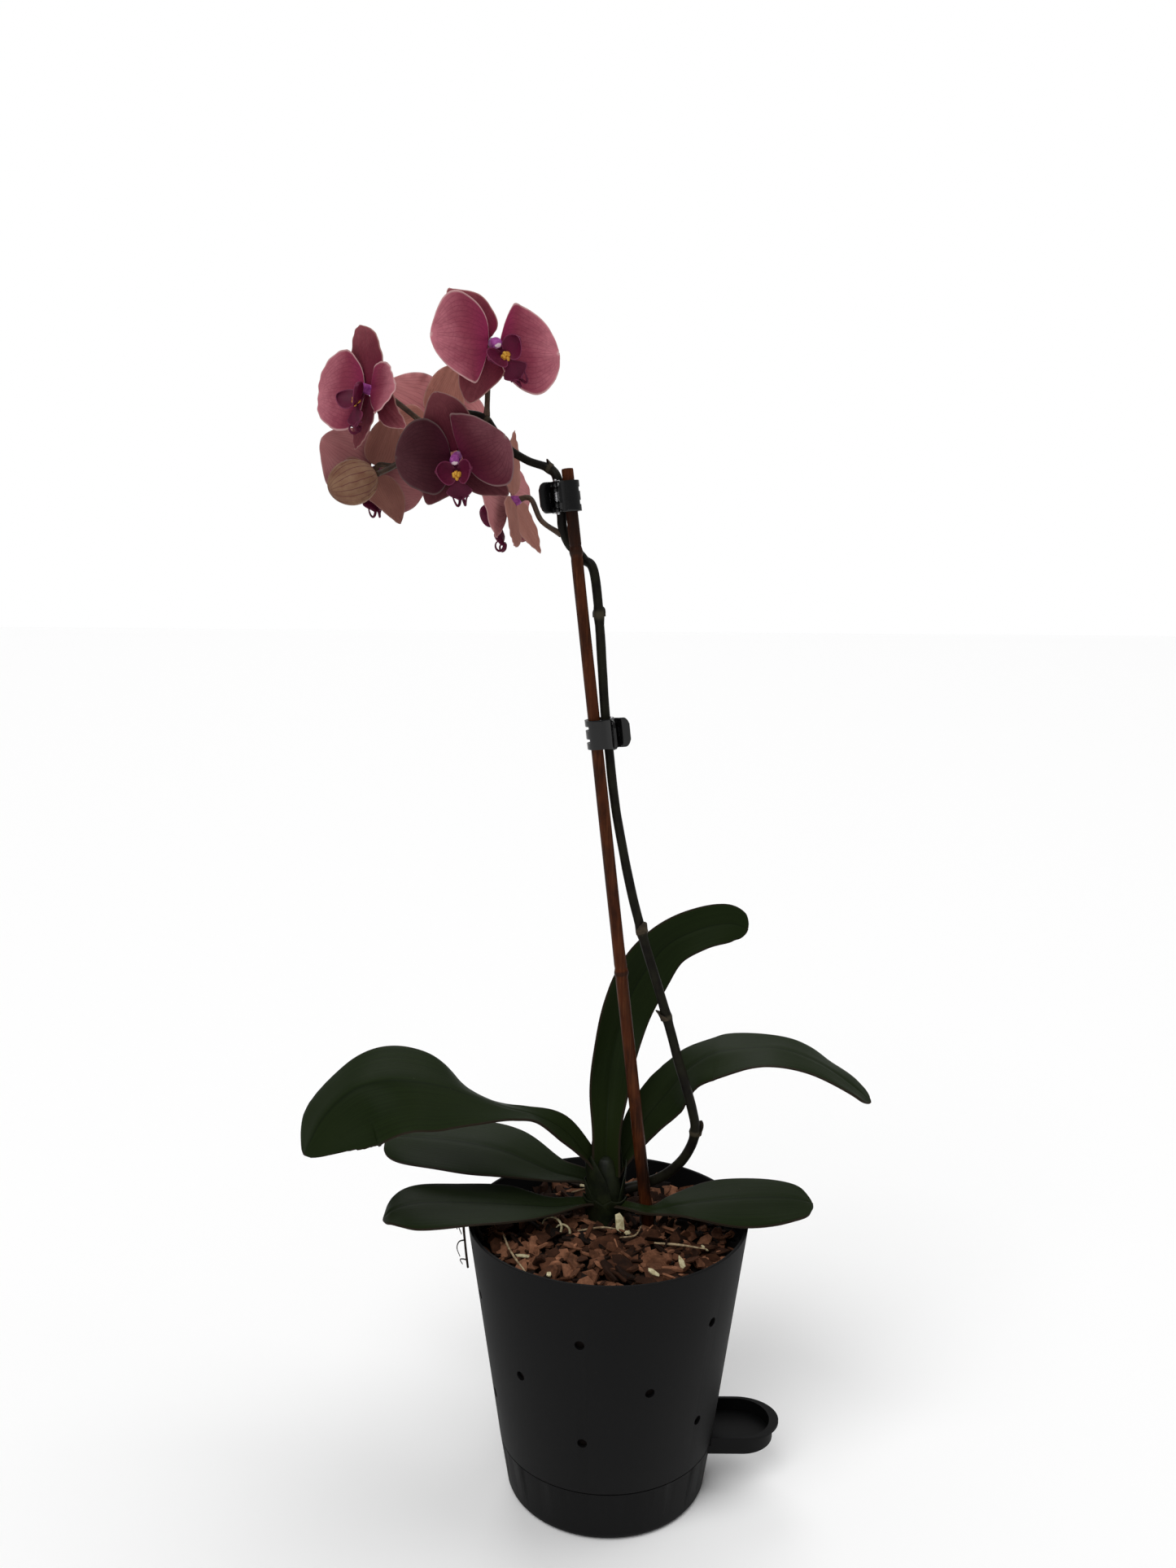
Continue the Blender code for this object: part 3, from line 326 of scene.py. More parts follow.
def fromBmesh(name, bm):
    mesh = bpy.data.meshes.new(name)
    bmesh.ops.recalc_face_normals(bm, faces=bm.faces)
    bm.to_mesh(mesh)
    bm.free()
    return newObject(name, mesh)


def turned(name, profile):
    shape = lathe(Shape(), profile, pot["steps"])
    return rawMesh(name, shape.points, shape.faces)


def rod(start, end, radius, sides):
    axis = end - start
    bm = bmesh.new()
    place = Matrix.Translation((start + end) / 2) @ axis.to_track_quat("Z", "Y").to_matrix().to_4x4()
    bmesh.ops.create_cone(bm, cap_ends=True, segments=sides, radius1=radius, radius2=radius,
                          depth=axis.length, matrix=place)
    return fromBmesh("rod", bm)


def box(low, high):
    bm = bmesh.new()
    bmesh.ops.create_cube(bm, size=1.0)
    for vert in bm.verts:
        vert.co = Vector([low[i] + (high[i] - low[i]) * (vert.co[i] + 0.5) for i in range(3)])
    return fromBmesh("box", bm)


def outline(points, low, high):
    # a flat closed outline, extruded
    count = len(points)
    verts = [(x, y, z) for z in (low, high) for x, y in points]
    sides = [(i, (i + 1) % count, count + (i + 1) % count, count + i) for i in range(count)]
    return rawMesh("outline", verts, [list(range(count))[::-1], list(range(count, 2 * count)), *sides])


def carve(piece, tool, operation="DIFFERENCE"):
    cut = piece.modifiers.new(operation.lower(), "BOOLEAN")
    cut.operation = operation
    cut.solver = "EXACT"
    cut.object = tool
    flatten(piece)
    bpy.data.objects.remove(tool, do_unlink=True)


def flatten(piece):
    # the piece's mesh with its modifiers applied
    bpy.context.view_layer.update()
    made = bpy.data.meshes.new_from_object(piece.evaluated_get(bpy.context.evaluated_depsgraph_get()))
    piece.modifiers.clear()
    piece.data = made


def softEdges(piece, width, angle=35, segments=3):
    bevel = piece.modifiers.new("edges", "BEVEL")
    bevel.width = width
    bevel.segments = segments
    bevel.limit_method = "ANGLE"
    bevel.angle_limit = radians(angle)
    bevel.use_clamp_overlap = True
    flatten(piece)
    smoothUp(piece.data, 50)


# finishes

def plasticFinish():
    finish = Finish("matteBlackPlastic", {"Specular IOR Level": 0.12})
    cloud = finish.speckle(14, 4)
    dust = finish.step(finish.speckle(420, 5, 0.7), 0.6, 0.78)
    skin = finish.mix(cloud, (0.0026, 0.0026, 0.0027), (0.0048, 0.0048, 0.005))
    grain = finish.speckle(2600, 2) * 0.6 + finish.speckle(500, 3) * 0.4
    return finish.coat(finish.mix(dust * 0.35, skin, (0.024, 0.022, 0.02)), 0.58 + cloud * 0.14 + dust * 0.15,
                       grain, 0.00006, 0.5)


def clipFinish():
    finish = Finish("glossBlackPlastic", {"Specular IOR Level": 0.36})
    return finish.coat((0.0022, 0.0022, 0.0024), 0.1 + finish.speckle(700, 4) * 0.12, finish.speckle(260, 2),
                       0.0001, 0.25)


def steelFinish():
    finish = Finish("springSteel", {"Base Color": (0.42, 0.42, 0.43), "Metallic": 1.0})
    finish.set("Roughness", 0.24 + finish.speckle(900, 3) * 0.2)
    return finish


def leafFinish(under):
    # under is the colour of the lower side
    finish = Finish("leafGreen", {"Specular IOR Level": 0.035})
    along, across, side = finish.mark("place")
    rim, tone, chance = finish.mark("shade")
    lower = finish.step(side, 0.1, -0.1)
    fine = finish.node("CombineXYZ", {}, {0: across * 46 + chance * 9, 1: along * 2.2, 2: side})
    veins = finish.speckle(1.0, 2, 0.5, fine)
    blotch = finish.speckle(38, 5, 0.6)
    # along the midrib the upper face is painted darker, painted shade in the groove; on the lower side the same
    # band lightens the keel
    rib = finish.step(abs(across), 0.045, 0.0)
    deep = finish.mix(blotch, (0.0064, 0.012, 0.0036), (0.0121, 0.0182, 0.0054))
    upper = finish.layers(
        finish.mix(finish.step(along, 0.0, 0.3), (0.012, 0.017, 0.0042), deep),
        (finish.step(veins, 0.42, 0.66) * 0.5, (0.0125, 0.0215, 0.0058)),
        (rib * 0.55, (0.0045, 0.0075, 0.0035)), (finish.step(rim, 1.1, 0.2) * 0.7, (0.022, 0.012, 0.01)))
    below = finish.layers(under, (finish.step(veins, 0.35, 0.7), [c * 1.7 for c in under]),
                          (rib * 0.4, [c * 2.0 for c in under]))
    flecks = finish.step(finish.speckle(640, 3, 0.7), 0.73, 0.78) * finish.step(finish.speckle(60), 0.5, 0.66)
    color = finish.layers(upper, (lower, below), (flecks * 0.8, (0.2, 0.18, 0.13)))
    return finish.coat(finish.tint(color, tone), 0.42 + blotch * 0.12 + lower * 0.14 + flecks * 0.2,
                       veins * 0.55 + finish.speckle(900, 2) * 0.12 + blotch * 0.6, 0.00022, 0.5)


def petalFinish(name, looks):
    # face and back colours, with veins that fan out from the flower's centre, a painted highlight that lightens
    # the outer face and a painted highlight along the rim
    finish = Finish(name, {"Specular IOR Level": 0.06})
    along, across, side = finish.mark("place")
    rim, tone, chance = finish.mark("shade")
    drift = finish.speckle(120, 3, 0.6) - 0.5
    stripe = finish.stripes(across * (7.0 + 4.0 * along) + drift * 0.9 + chance * 3)
    veins = finish.step(stripe, 0.34, 0.0) * finish.step(along, 0.02, 0.16) * finish.step(rim, 0.4, 3.2)
    branch = finish.step(finish.cells(330), 0.16, 0.02) * finish.step(rim, 0.8, 4.0) * 0.45
    cloud = finish.speckle(75, 4, 0.6)
    # pale is a painted highlight along each organ's edge, the bright rim of velvet sheen, laid in the rim colour
    # on face and back
    pale = finish.step(rim, looks["rimWidth"], 0.15)
    # painted highlight: the face grows lighter toward its outer end, up to the highlight colour
    outer = finish.mix(finish.step(along * 0.75 + cloud * 0.5, 0.45, 1.05), looks["face"], looks["faceHighlight"])
    ink = veins * 0.42
    face = finish.layers(finish.mix(finish.step(along, 0.0, 0.4), looks["heart"], outer),
                         (ink.calc("MAXIMUM", ink, branch * 0.35), looks["vein"]), (pale * 0.72, looks["rim"]))
    back = finish.layers(finish.mix(cloud, looks["back"], looks["backLight"]), (veins * 0.4, looks["backVein"]),
                         (pale * 0.45, looks["rim"]))
    color = finish.mix(finish.step(side, 0.1, -0.1), face, back)
    return finish.coat(finish.tint(color, tone), 0.52 + cloud * 0.2,
                       veins * -0.7 + finish.speckle(420, 4, 0.6) * 0.35 + branch * -0.4, 0.00016)


def lipFinish():
    finish = Finish("lipPurple", {"Specular IOR Level": 0.14})
    across = finish.mark("place")[1]
    rim, tone = finish.mark("shade")[:2]
    cloud = finish.speckle(240, 4, 0.6)
    stripe = finish.stripes(across * 9 + cloud * 1.2)
    color = finish.layers(finish.mix(cloud, (0.05, 0.0026, 0.015), (0.12, 0.006, 0.034)),
                          (finish.step(stripe, 0.4, 0.0) * 0.5, (0.03, 0.002, 0.01)),
                          (finish.step(rim, 0.7, 0.1) * 0.45, (0.22, 0.045, 0.1)))
    return finish.coat(finish.tint(color, tone), 0.42 + cloud * 0.2, stripe * 0.5 + cloud * 0.5, 0.00012, 0.5)


def plainFinish(name, low, high, roughness, scale, height=0.0001):
    # two colours clouded together, for small plant pieces
    finish = Finish(name, {"Specular IOR Level": 0.18})
    cloud = finish.speckle(scale, 4, 0.62)
    color = finish.mix(finish.step(cloud, 0.3, 0.7), low, high)
    return finish.coat(finish.tint(color, finish.mark("shade")[1]), roughness + cloud * 0.15, cloud, height)


def stemFinish():
    finish = Finish("stemGreen", {"Specular IOR Level": 0.06})
    near, tone = finish.mark("place")[2], finish.mark("shade")[1]
    cloud = finish.speckle(95, 5, 0.6)
    streak = finish.speckle(260, 3, 0.6, finish.place((1, 1, 0.12)))
    flecks = finish.step(finish.speckle(900, 2, 0.6), 0.72, 0.8)
    color = finish.layers(
        finish.mix(finish.step(cloud, 0.35, 0.65), (0.006, 0.005, 0.0042), (0.012, 0.0115, 0.0068)),
        (finish.step(streak, 0.55, 0.75) * 0.5, (0.022, 0.016, 0.0125)),
        (finish.step(near, 0.35, 0.9) * 0.8, (0.05, 0.041, 0.026)), (flecks * 0.5, (0.1, 0.09, 0.07)))
    return finish.coat(finish.tint(color, tone), 0.36 + cloud * 0.18, streak * 0.6 + cloud * 0.6, 0.00012)


def bambooFinish():
    finish = Finish("bamboo", {"Specular IOR Level": 0.08})
    near = finish.mark("place")[2]
    grain = finish.speckle(900, 3, 0.6, finish.place((1, 1, 0.035)))
    mottle = finish.speckle(85, 5, 0.65, finish.place((1, 1, 0.42)))
    scorch = finish.step(finish.speckle(42, 3, 0.6, finish.place((1, 1, 0.35))), 0.54, 0.7)
    color = finish.layers(
        finish.mix(finish.step(mottle, 0.34, 0.66), (0.022, 0.0056, 0.0018), (0.066, 0.0155, 0.004)),
        (finish.step(grain, 0.45, 0.75) * 0.5, (0.115, 0.04, 0.0135)), (scorch * 0.85, (0.0085, 0.0042, 0.003)),
        (finish.step(near, 0.55, 0.95) * 0.75, (0.02, 0.0085, 0.005)))
    return finish.coat(color, 0.36 + mottle * 0.2, grain * 0.8 + mottle * 0.3, 0.00012)


def barkFinish(name, dark, middle, light):
    finish = Finish(name, {"Specular IOR Level": 0.1})
    chance = finish.mark("shade")[2]
    cork = finish.speckle(300, 6, 0.7)
    sheet = finish.speckle(120, 4, 0.6, finish.place((1, 1, 3.5)))
    stops = [(0.0, dark), (0.3, [c * 0.42 for c in middle]), (0.58, middle), (0.8, light),
             (1.0, [c * 1.7 for c in light])]
    tones = finish.node("ValToRGB", {"stops": stops}, {0: chance * 0.92 + cork * 0.55 - 0.3})
    return finish.coat(finish.tint(tones, finish.step(sheet, 0.3, 0.7, 0.72, 1.2)), 0.78 + cork * 0.18,
                       cork * 0.6 + sheet * 0.5, 0.0009, 0.8)


def budFinish():
    finish = Finish("budOlive", {"Specular IOR Level": 0.08})
    cloud = finish.speckle(110, 4, 0.6)
    stripe = finish.stripes(finish.mark("place")[1] * 21 + cloud * 0.8)
    skin = finish.mix(finish.step(cloud, 0.3, 0.7), (0.15, 0.066, 0.04), (0.225, 0.128, 0.078))
    return finish.coat(finish.mix(finish.step(stripe, 0.36, 0.0) * 0.75, skin, (0.075, 0.014, 0.024)),
                       0.5 + cloud * 0.2, stripe * 0.4 + cloud * 0.4, 0.00015, 0.5)


# the lighter face colour is a painted highlight on the outer face, and the rim colour a painted highlight along
# each organ's edge
pinkLooks = {"heart": (0.235, 0.02, 0.07), "face": (0.24, 0.04, 0.07), "faceHighlight": (0.52, 0.175, 0.215),
             "vein": (0.125, 0.01, 0.038), "rim": (0.68, 0.44, 0.43), "rimWidth": 1.3,
             "back": (0.46, 0.15, 0.16), "backLight": (0.62, 0.27, 0.27), "backVein": (0.24, 0.055, 0.08)}
sepalLooks = {"heart": (0.15, 0.012, 0.036), "face": (0.15, 0.022, 0.038), "faceHighlight": (0.27, 0.07, 0.085),
              "vein": (0.075, 0.006, 0.018), "rim": (0.52, 0.3, 0.27), "rimWidth": 0.9,
              "back": (0.32, 0.12, 0.098), "backLight": (0.48, 0.22, 0.17), "backVein": (0.16, 0.045, 0.042)}
plastic = plasticFinish()
clipPlastic = clipFinish()
steel = steelFinish()
leafGreen = leafFinish((0.022, 0.017, 0.012))
petalPink = petalFinish("petalPink", pinkLooks)
sepalPink = petalFinish("sepalPink", sepalLooks)
lipPurple = lipFinish()
columnMagenta = plainFinish("columnMagenta", (0.24, 0.035, 0.22), (0.42, 0.1, 0.36), 0.35, 500)
capPale = plainFinish("capPale", (0.6, 0.44, 0.5), (0.78, 0.66, 0.68), 0.4, 500)
callusYellow = plainFinish("callusYellow", (0.5, 0.19, 0.02), (0.72, 0.42, 0.06), 0.4, 1100, 0.0003)
stemGreen = stemFinish()
stalkBrown = plainFinish("stalkBrown", (0.04, 0.026, 0.018), (0.085, 0.052, 0.034), 0.42, 240)
bractDry = plainFinish("bractDry", (0.018, 0.0135, 0.009), (0.055, 0.04, 0.024), 0.7, 420, 0.0002)
bamboo = bambooFinish()
barkChips = barkFinish("barkChips", (0.0065, 0.004, 0.003), (0.085, 0.034, 0.0175), (0.21, 0.092, 0.05))
# the bed beneath the chips is coloured far darker than they are: painted shade in the gaps between them
barkBedShade = barkFinish("barkBedShade", (0.004, 0.0025, 0.002), (0.012, 0.0065, 0.0045), (0.03, 0.015, 0.01))
budOlive = budFinish()
rootBrown = plainFinish("rootBrown", (0.016, 0.011, 0.009), (0.045, 0.03, 0.022), 0.8, 500, 0.0003)
strawDry = plainFinish("strawDry", (0.16, 0.1, 0.055), (0.42, 0.33, 0.2), 0.75, 500, 0.0002)
paleChip = plainFinish("paleChip", (0.3, 0.25, 0.13), (0.62, 0.56, 0.36), 0.7, 420, 0.0003)
# the crown is coloured darker than the leaves: painted shade where the stub sits among the leaf bases
crownGreen = plainFinish("crownGreen", (0.0035, 0.0052, 0.002), (0.0125, 0.0165, 0.005), 0.45, 110, 0.0004)
print("finishes made")


# pot body and reservoir base

pot = {"height": 0.15, "rimRadius": 0.075, "footRadius": 0.054, "wall": 0.0018, "seam": 0.0285,
       "footRound": 0.004, "floor": 0.0022, "skirtDepth": 0.0085, "skirtClearance": 0.0005,
       "floorRise": 0.0045, "wellRadius": 0.02, "wellClearance": 0.0012, "wellSlots": 6, "slotWidth": 0.003,
       "holeRadius": 0.0025, "holesPerRow": 6, "holeRows": 3, "firstHole": 0.0305, "holePitch": 0.0285,
       "holeStart": -102, "steps": 144, "edge": 0.0005}
spout = {"reach": 0.0912, "halfWidth": 0.0185, "depth": 0.009, "rise": 0.0045, "lip": 0.0033,
         "lipHeight": 0.0014, "clearance": 0.0008, "notchMargin": 0.0028}


def outerRadius(height):
    return pot["footRadius"] + (pot["rimRadius"] - pot["footRadius"]) * height / pot["height"]


def innerRadius(height):
    return outerRadius(height) - pot["wall"]


skirtRadius = innerRadius(pot["seam"] - pot["skirtDepth"]) - pot["skirtClearance"]
floorUnder = pot["seam"] + pot["floorRise"]
floorTop = floorUnder + pot["wall"]
wellBottom = pot["floor"] + pot["wellClearance"]
wellFloor = wellBottom + pot["wall"]
spoutRim = pot["seam"] + spout["rise"]


def spoutOutline(margin, lip=0.0, steps=40):
    across = spout["halfWidth"] - margin
    centre = spout["reach"] - spout["halfWidth"]
    start = skirtRadius - spout["halfWidth"] * 0.5
    arc = [radians(-90 + 180 * i / steps) for i in range(steps + 1)]
    return [(start, -across), *((centre + (across + lip) * cos(a), across * sin(a)) for a in arc),
            (start, across)]


def makeBase():
    seam, wall, floor, wide = pot["seam"], pot["wall"], pot["floor"], spout["clearance"]
    top, high, bottom = seam + wall, spoutRim + 0.01, spoutRim - spout["depth"]
    arc = [radians(90 * i / 6) for i in range(7)]
    rounded = [(pot["footRadius"] - pot["footRound"] * (1 - cos(a)), pot["footRound"] * (1 - sin(a)))
               for a in arc]
    base = turned("reservoirBase", [(0, top), (outerRadius(top), top), *rounded, (0, 0)])
    carve(base, outline(spoutOutline(0), bottom, spoutRim), "UNION")
    carve(base, outline(spoutOutline(0, spout["lip"]), spoutRim - spout["lipHeight"], spoutRim), "UNION")
    carve(base, turned("seat", [(0, high), (outerRadius(high) + wide, high), (outerRadius(seam) + wide, seam),
                                (0, seam)]))
    carve(base, turned("space", [(0, high), (innerRadius(high), high), (innerRadius(floor), floor), (0, floor)]))
    carve(base, outline(spoutOutline(wall), bottom + wall, high))
    softEdges(base, pot["edge"] * 0.7)
    settle(base, plastic, ["reservoir_base"])


def makePotBody():
    wall, well, height = pot["wall"], pot["wellRadius"], pot["height"]
    shoulder, foot = pot["seam"] + gap, pot["seam"] - pot["skirtDepth"]
    body = turned("potBody", [
        (0, wellFloor), (well - wall, wellFloor), (well - wall, floorTop), (innerRadius(floorTop), floorTop),
        (innerRadius(height), height), (pot["rimRadius"], height), (outerRadius(shoulder), shoulder),
        (skirtRadius, shoulder), (skirtRadius, foot), (skirtRadius - wall, foot),
        (skirtRadius - wall, shoulder + wall), (innerRadius(shoulder + wall), shoulder + wall),
        (innerRadius(floorUnder), floorUnder), (well, floorUnder), (well, wellBottom), (0, wellBottom)])
    softEdges(body, pot["edge"], 30)
    half = spout["halfWidth"] - wall - spout["notchMargin"]
    carve(body, box((skirtRadius - 4 * wall, -half, foot - wall),
                    (outerRadius(spoutRim) + wall, half, floorUnder - wall / 2)))
    for row in range(pot["holeRows"]):
        level = pot["seam"] + pot["firstHole"] + row * pot["holePitch"]
        for number in range(pot["holesPerRow"]):
            turn = pot["holeStart"] + 360 / pot["holesPerRow"] * (number + 0.5 * (row % 2))
            carve(body, rod(polar(turn, innerRadius(level) - wall, level),
                            polar(turn, outerRadius(level) + wall, level), pot["holeRadius"], 28))
    for number in range(pot["wellSlots"]):
        slot = box((well - wall * 1.5, -pot["slotWidth"] / 2, wellFloor + wall),
                   (well + wall / 2, pot["slotWidth"] / 2, floorUnder - 2 * wall))
        slot.data.transform(Matrix.Rotation(2 * pi * (number + 0.5) / pot["wellSlots"], 4, "Z"))
        carve(body, slot)
    smoothUp(body.data, 45)
    settle(body, plastic, ["pot_body"])


makeBase()
makePotBody()
print("pot made")


# bark, with pale husk flakes, dry straw and thin old roots lying on it

bark = {"drop": 0.01, "slope": 0.0035, "lump": 0.0009, "chips": 900, "small": 0.0026, "large": 0.0098,
        "thin": 0.0008, "thick": 0.0022, "seed": 12,
        "clearOfWall": 0.0012, "slim": (0.42, 0.85), "tumble": 0.62}
barkLevel = pot["height"] - bark["drop"]
crown = {"x": -0.001, "y": 0.015, "radius": 0.009, "height": 0.046, "depth": 0.004, "wrapThickness": 0.0014,
         "wraps": [(197, 0, 0.036, 1.12), (42, 0, 0.03, 1.1), (160, -0.002, 0.022, 1.16),  # turn, foot, top
                   (-50, -0.003, 0.014, 1.16), (215, -0.003, 0.014, 1.2), (90, 0.004, 0.046, 1.02)]}
stake = {"radius": 0.003, "foot": Vector((0.022, 0.01, 0)), "top": Vector((-0.024, -0.004, 0.401)),
         "buried": 0.095, "nodes": (0.142, 0.36)}
litter = {"seed": 5, "thickness": 0.0009, "slim": 0.45, "curlRadius": 0.0007,
          "flakes": [  # x, y, size, tilt, heading
              (0.006, -0.006, 0.0062, 1.0, 0.4), (0.01, -0.012, 0.0034, 0.5, 1.5),
              (-0.044, -0.034, 0.0052, 0.3, 2.4), (0.037, -0.04, 0.0046, 0.6, 1.0),
              (0.022, -0.05, 0.004, 0.5, 0.7), (-0.012, 0.046, 0.004, 0.4, 0.2),
              (-0.03, -0.052, 0.003, 0.2, 2.0), (0.05, -0.024, 0.0028, 0.5, 1.9)],
          "straws": [  # three places, height, radius
              ((0.024, -0.022), (0.036, -0.026), (0.05, -0.028), 0.006, 0.0007),
              ((-0.056, -0.01), (-0.05, -0.034), (-0.04, -0.054), 0.0068, 0.0006),
              ((-0.016, -0.012), (-0.004, -0.01), (0.004, -0.008), 0.0062, 0.0005),
              ((0.006, -0.02), (0.014, -0.014), (0.018, -0.004), 0.0052, 0.0005),
              ((-0.02, 0.04), (0, 0.048), (0.02, 0.044), 0.0055, 0.0006)],
          "curls": [(-0.03, -0.006, 0.0052), (-0.024, -0.007, 0.0038)]}  # x, y, size


def aboveBark(x, y, height):
    return Vector((x, y, barkLevel + height))


def barkHeight(x, y):
    share = (x * x + y * y) / innerRadius(pot["height"]) ** 2
    lumps = sin(x * 520 + 1.0) * cos(y * 430) + sin((x + y) * 310 + 2.0) * cos((x - y) * 370)
    return barkLevel - bark["slope"] * share + bark["lump"] * lumps


def makeBarkBed():
    # its dark finish shows between the chips as painted shade
    level = barkLevel - bark["slope"]
    edge, well = innerRadius(level) - gap, pot["wellRadius"] - pot["wall"] - gap
    rings = [(edge * i / 40, level) for i in range(40)]
    shape = lathe(Shape(), [*rings, (edge, level), (innerRadius(floorTop) - gap, floorTop + gap),
                            (well, floorTop + gap), (well, wellFloor + gap), (0, wellFloor + gap)], 120)
    for point in shape.points:
        if point.z > level - gap:
            rough = noise.noise(point * 160) * 0.0012 + noise.noise(point * 420) * 0.0007
            point.z = barkHeight(point.x, point.y) - 0.0008 + rough
    shape.piece("barkBedShade", barkBedShade, "bark", ["bark_bed"], 30)


def addChip(shape, draw, centre, size, thick, tilt, heading, slim):
    # one broken flake: an uneven polygon with two skins and a slightly proud middle ridge
    count = draw.choice((5, 6, 6, 7))
    turn = Matrix.Rotation(heading, 3, "Z") @ Matrix.Rotation(tilt, 3, "X") @ Matrix.Rotation(
        draw.uniform(0, 2 * pi), 3, "Z")
    start = draw.uniform(0, 2 * pi)
    ring = []
    for k in range(count):
        angle = start + 2 * pi * (k + draw.uniform(-0.22, 0.22)) / count
        wide = size * draw.uniform(0.78, 1.08)
        ring.append(Vector((wide * cos(angle), wide * slim * sin(angle), 0)))
    bow = draw.uniform(-0.16, 0.16) * size
    points = []
    for inward, level in ((0.8, 0.5), (1.0, 0.3), (0.97, -0.28), (0.74, -0.5)):
        for p in ring:
            lift = thick * (level + draw.uniform(-0.1, 0.1)) - bow * (p.length / size) ** 2
            points.append(centre + turn @ Vector((p.x * inward, p.y * inward, lift)))
    base = 3 * count  # where the lowest ring starts
    points.append(centre + turn @ Vector((0, 0, thick * draw.uniform(0.45, 0.7))))
    points.append(centre + turn @ Vector((0, 0, -thick * 0.5)))
    faces = []
    for k in range(count):
        after = (k + 1) % count
        faces += [(low + k, low + count + k, low + count + after, low + after) for low in range(0, base, count)]
        faces += [(len(points) - 2, k, after), (len(points) - 1, base + after, base + k)]
    shade = (size * 1000, 1.0, draw.random())
    shape.add(points, faces, [(0.0, 0.0, 0.0)] * len(points), [shade] * len(points))


def makeChips():
    draw = random.Random(bark["seed"])
    shape, foot = Shape(), stakePoint(0)
    for number in range(bark["chips"]):
        size = bark["small"] + (bark["large"] - bark["small"]) * draw.random() ** 1.3
        reach = (innerRadius(0.142) - size - bark["clearOfWall"]) * sqrt(draw.random())
        angle = draw.uniform(0, 2 * pi)
        x, y = reach * cos(angle), reach * sin(angle)
        fromCrown = (Vector((x, y)) - Vector((crown["x"], crown["y"]))).length
        fromStake = (Vector((x, y)) - foot.xy).length
        if fromCrown < crown["radius"] + size * 0.6 or fromStake < stake["radius"] + size * 0.7:
            continue
        tilt = draw.gauss(0, bark["tumble"])
        thick = draw.uniform(bark["thin"], bark["thick"]) * (0.7 + size * 45)
        lift = (0.0002 + 0.003 * number / bark["chips"]) * draw.uniform(0.6, 1.0)
        centre = Vector((x, y, barkHeight(x, y) + (lift + abs(sin(tilt)) * size * 0.25)))
        addChip(shape, draw, centre, size * 0.92, thick, tilt, draw.uniform(0, 2 * pi),
                draw.uniform(*bark["slim"]))
    shape.piece("barkChips", barkChips, "bark", smooth=18)


def stakePoint(height):
    place = stake["foot"].lerp(stake["top"], height / stake["top"].z)
    return aboveBark(place.x, place.y, height)


def makeLitter():
    draw = random.Random(litter["seed"])
    pale, straw, curls = Shape(), Shape(), Shape()
    for x, y, size, tilt, heading in litter["flakes"]:
        centre = Vector((x, y, barkHeight(x, y) + 0.005 + sin(tilt) * size * 0.5))
        addChip(pale, draw, centre, size, litter["thickness"], tilt, heading, litter["slim"])
    pale.piece("paleFlakes", paleChip, "bark", smooth=25)
    for *places, height, radius in litter["straws"]:
        rows = [(x, y, barkHeight(x, y) + height + draw.uniform(-0.0004, 0.001), radius * wide)
                for (x, y), wide in zip(places, (0.7, 1.0, 0.5))]
        tube(straw, smoothPath(rows, 6), 8, 1.0, draw.random(), 0.35)
    straw.piece("dryStraw", strawDry, "bark")
    for x, y, size in litter["curls"]:
        rows = []
        for i in range(9):
            angle = -0.4 + i * 0.42
            rows.append((x + size * cos(angle), y + 0.0004 * i, barkHeight(x, y) + 0.0046 + size * sin(angle),
                         litter["curlRadius"] * (1 - 0.05 * i)))
        tube(curls, smoothPath(rows, 4), 8, 1.0, draw.random(), 0.4)
    curls.piece("curledHusks", paleChip, "bark")


stakeUp = (stake["top"] - stake["foot"]).normalized()
makeBarkBed()
makeChips()
makeLitter()
print("bark made")


# stake and roots

# each twig: where on the root, its side, its length
rootLooks = {"radius": 0.0011, "twigRadius": 0.00042,
             "twigs": [(0.5, 1, 0.006), (0.66, -1, 0.007), (0.82, 1, 0.006), (0.95, -1, 0.005)]}


def stakeRadius(height):
    return stake["radius"] * (1.16 - 0.17 * (height + stake["buried"]) / (stake["top"].z + stake["buried"]))


def makeStake():
    lengthwise = 1 / stakeUp.z
    top, low, count = stake["top"].z, -stake["buried"], 160
    heights = {top - 0.0005, top - 0.0012, low}
    heights |= {low + (top - 0.0012 - low) * i / count for i in range(count)}
    for node in stake["nodes"]:
        heights |= {node + step * 0.0004 for step in range(-14, 15)}
    rows, marks = [], [0.9, 0.4]
    for height in sorted(heights, reverse=True):
        near = min(abs(height - node) for node in stake["nodes"])
        bulge = 0.13 * exp(-(near / 0.0016) ** 2) - 0.05 * exp(-((near - 0.0028) / 0.0008) ** 2)
        trim = 0.93 if height > top - 0.0008 else 1.0
        rows.append((stakeRadius(height) * (1 + bulge) * trim, height * lengthwise))
        marks.append(exp(-(near / 0.0022) ** 2))
    profile = [(0, (top - 0.003) * lengthwise), (stakeRadius(top) * 0.45, (top - 0.003) * lengthwise),
               (stakeRadius(top) * 0.5, (top - 0.0003) * lengthwise), *rows, (0, low * lengthwise)]
    matrix = Matrix.Translation(stakePoint(0)) @ stakeUp.to_track_quat("Z", "Y").to_matrix().to_4x4()

    def uneven(angle, height):
        bud = exp(-((height - stake["nodes"][0] - 0.004) / 0.006) ** 2) * exp(-((angle - 1.2) / 0.5) ** 2)
        return 1 + 0.03 * noise.noise(Vector((cos(angle) * 1.2, sin(angle) * 1.2, height * 28))) + 0.1 * bud

    lathe(Shape(), profile, 40, matrix, marks, uneven).piece("bambooStake", bamboo, "bamboo", ["stake"], 50)


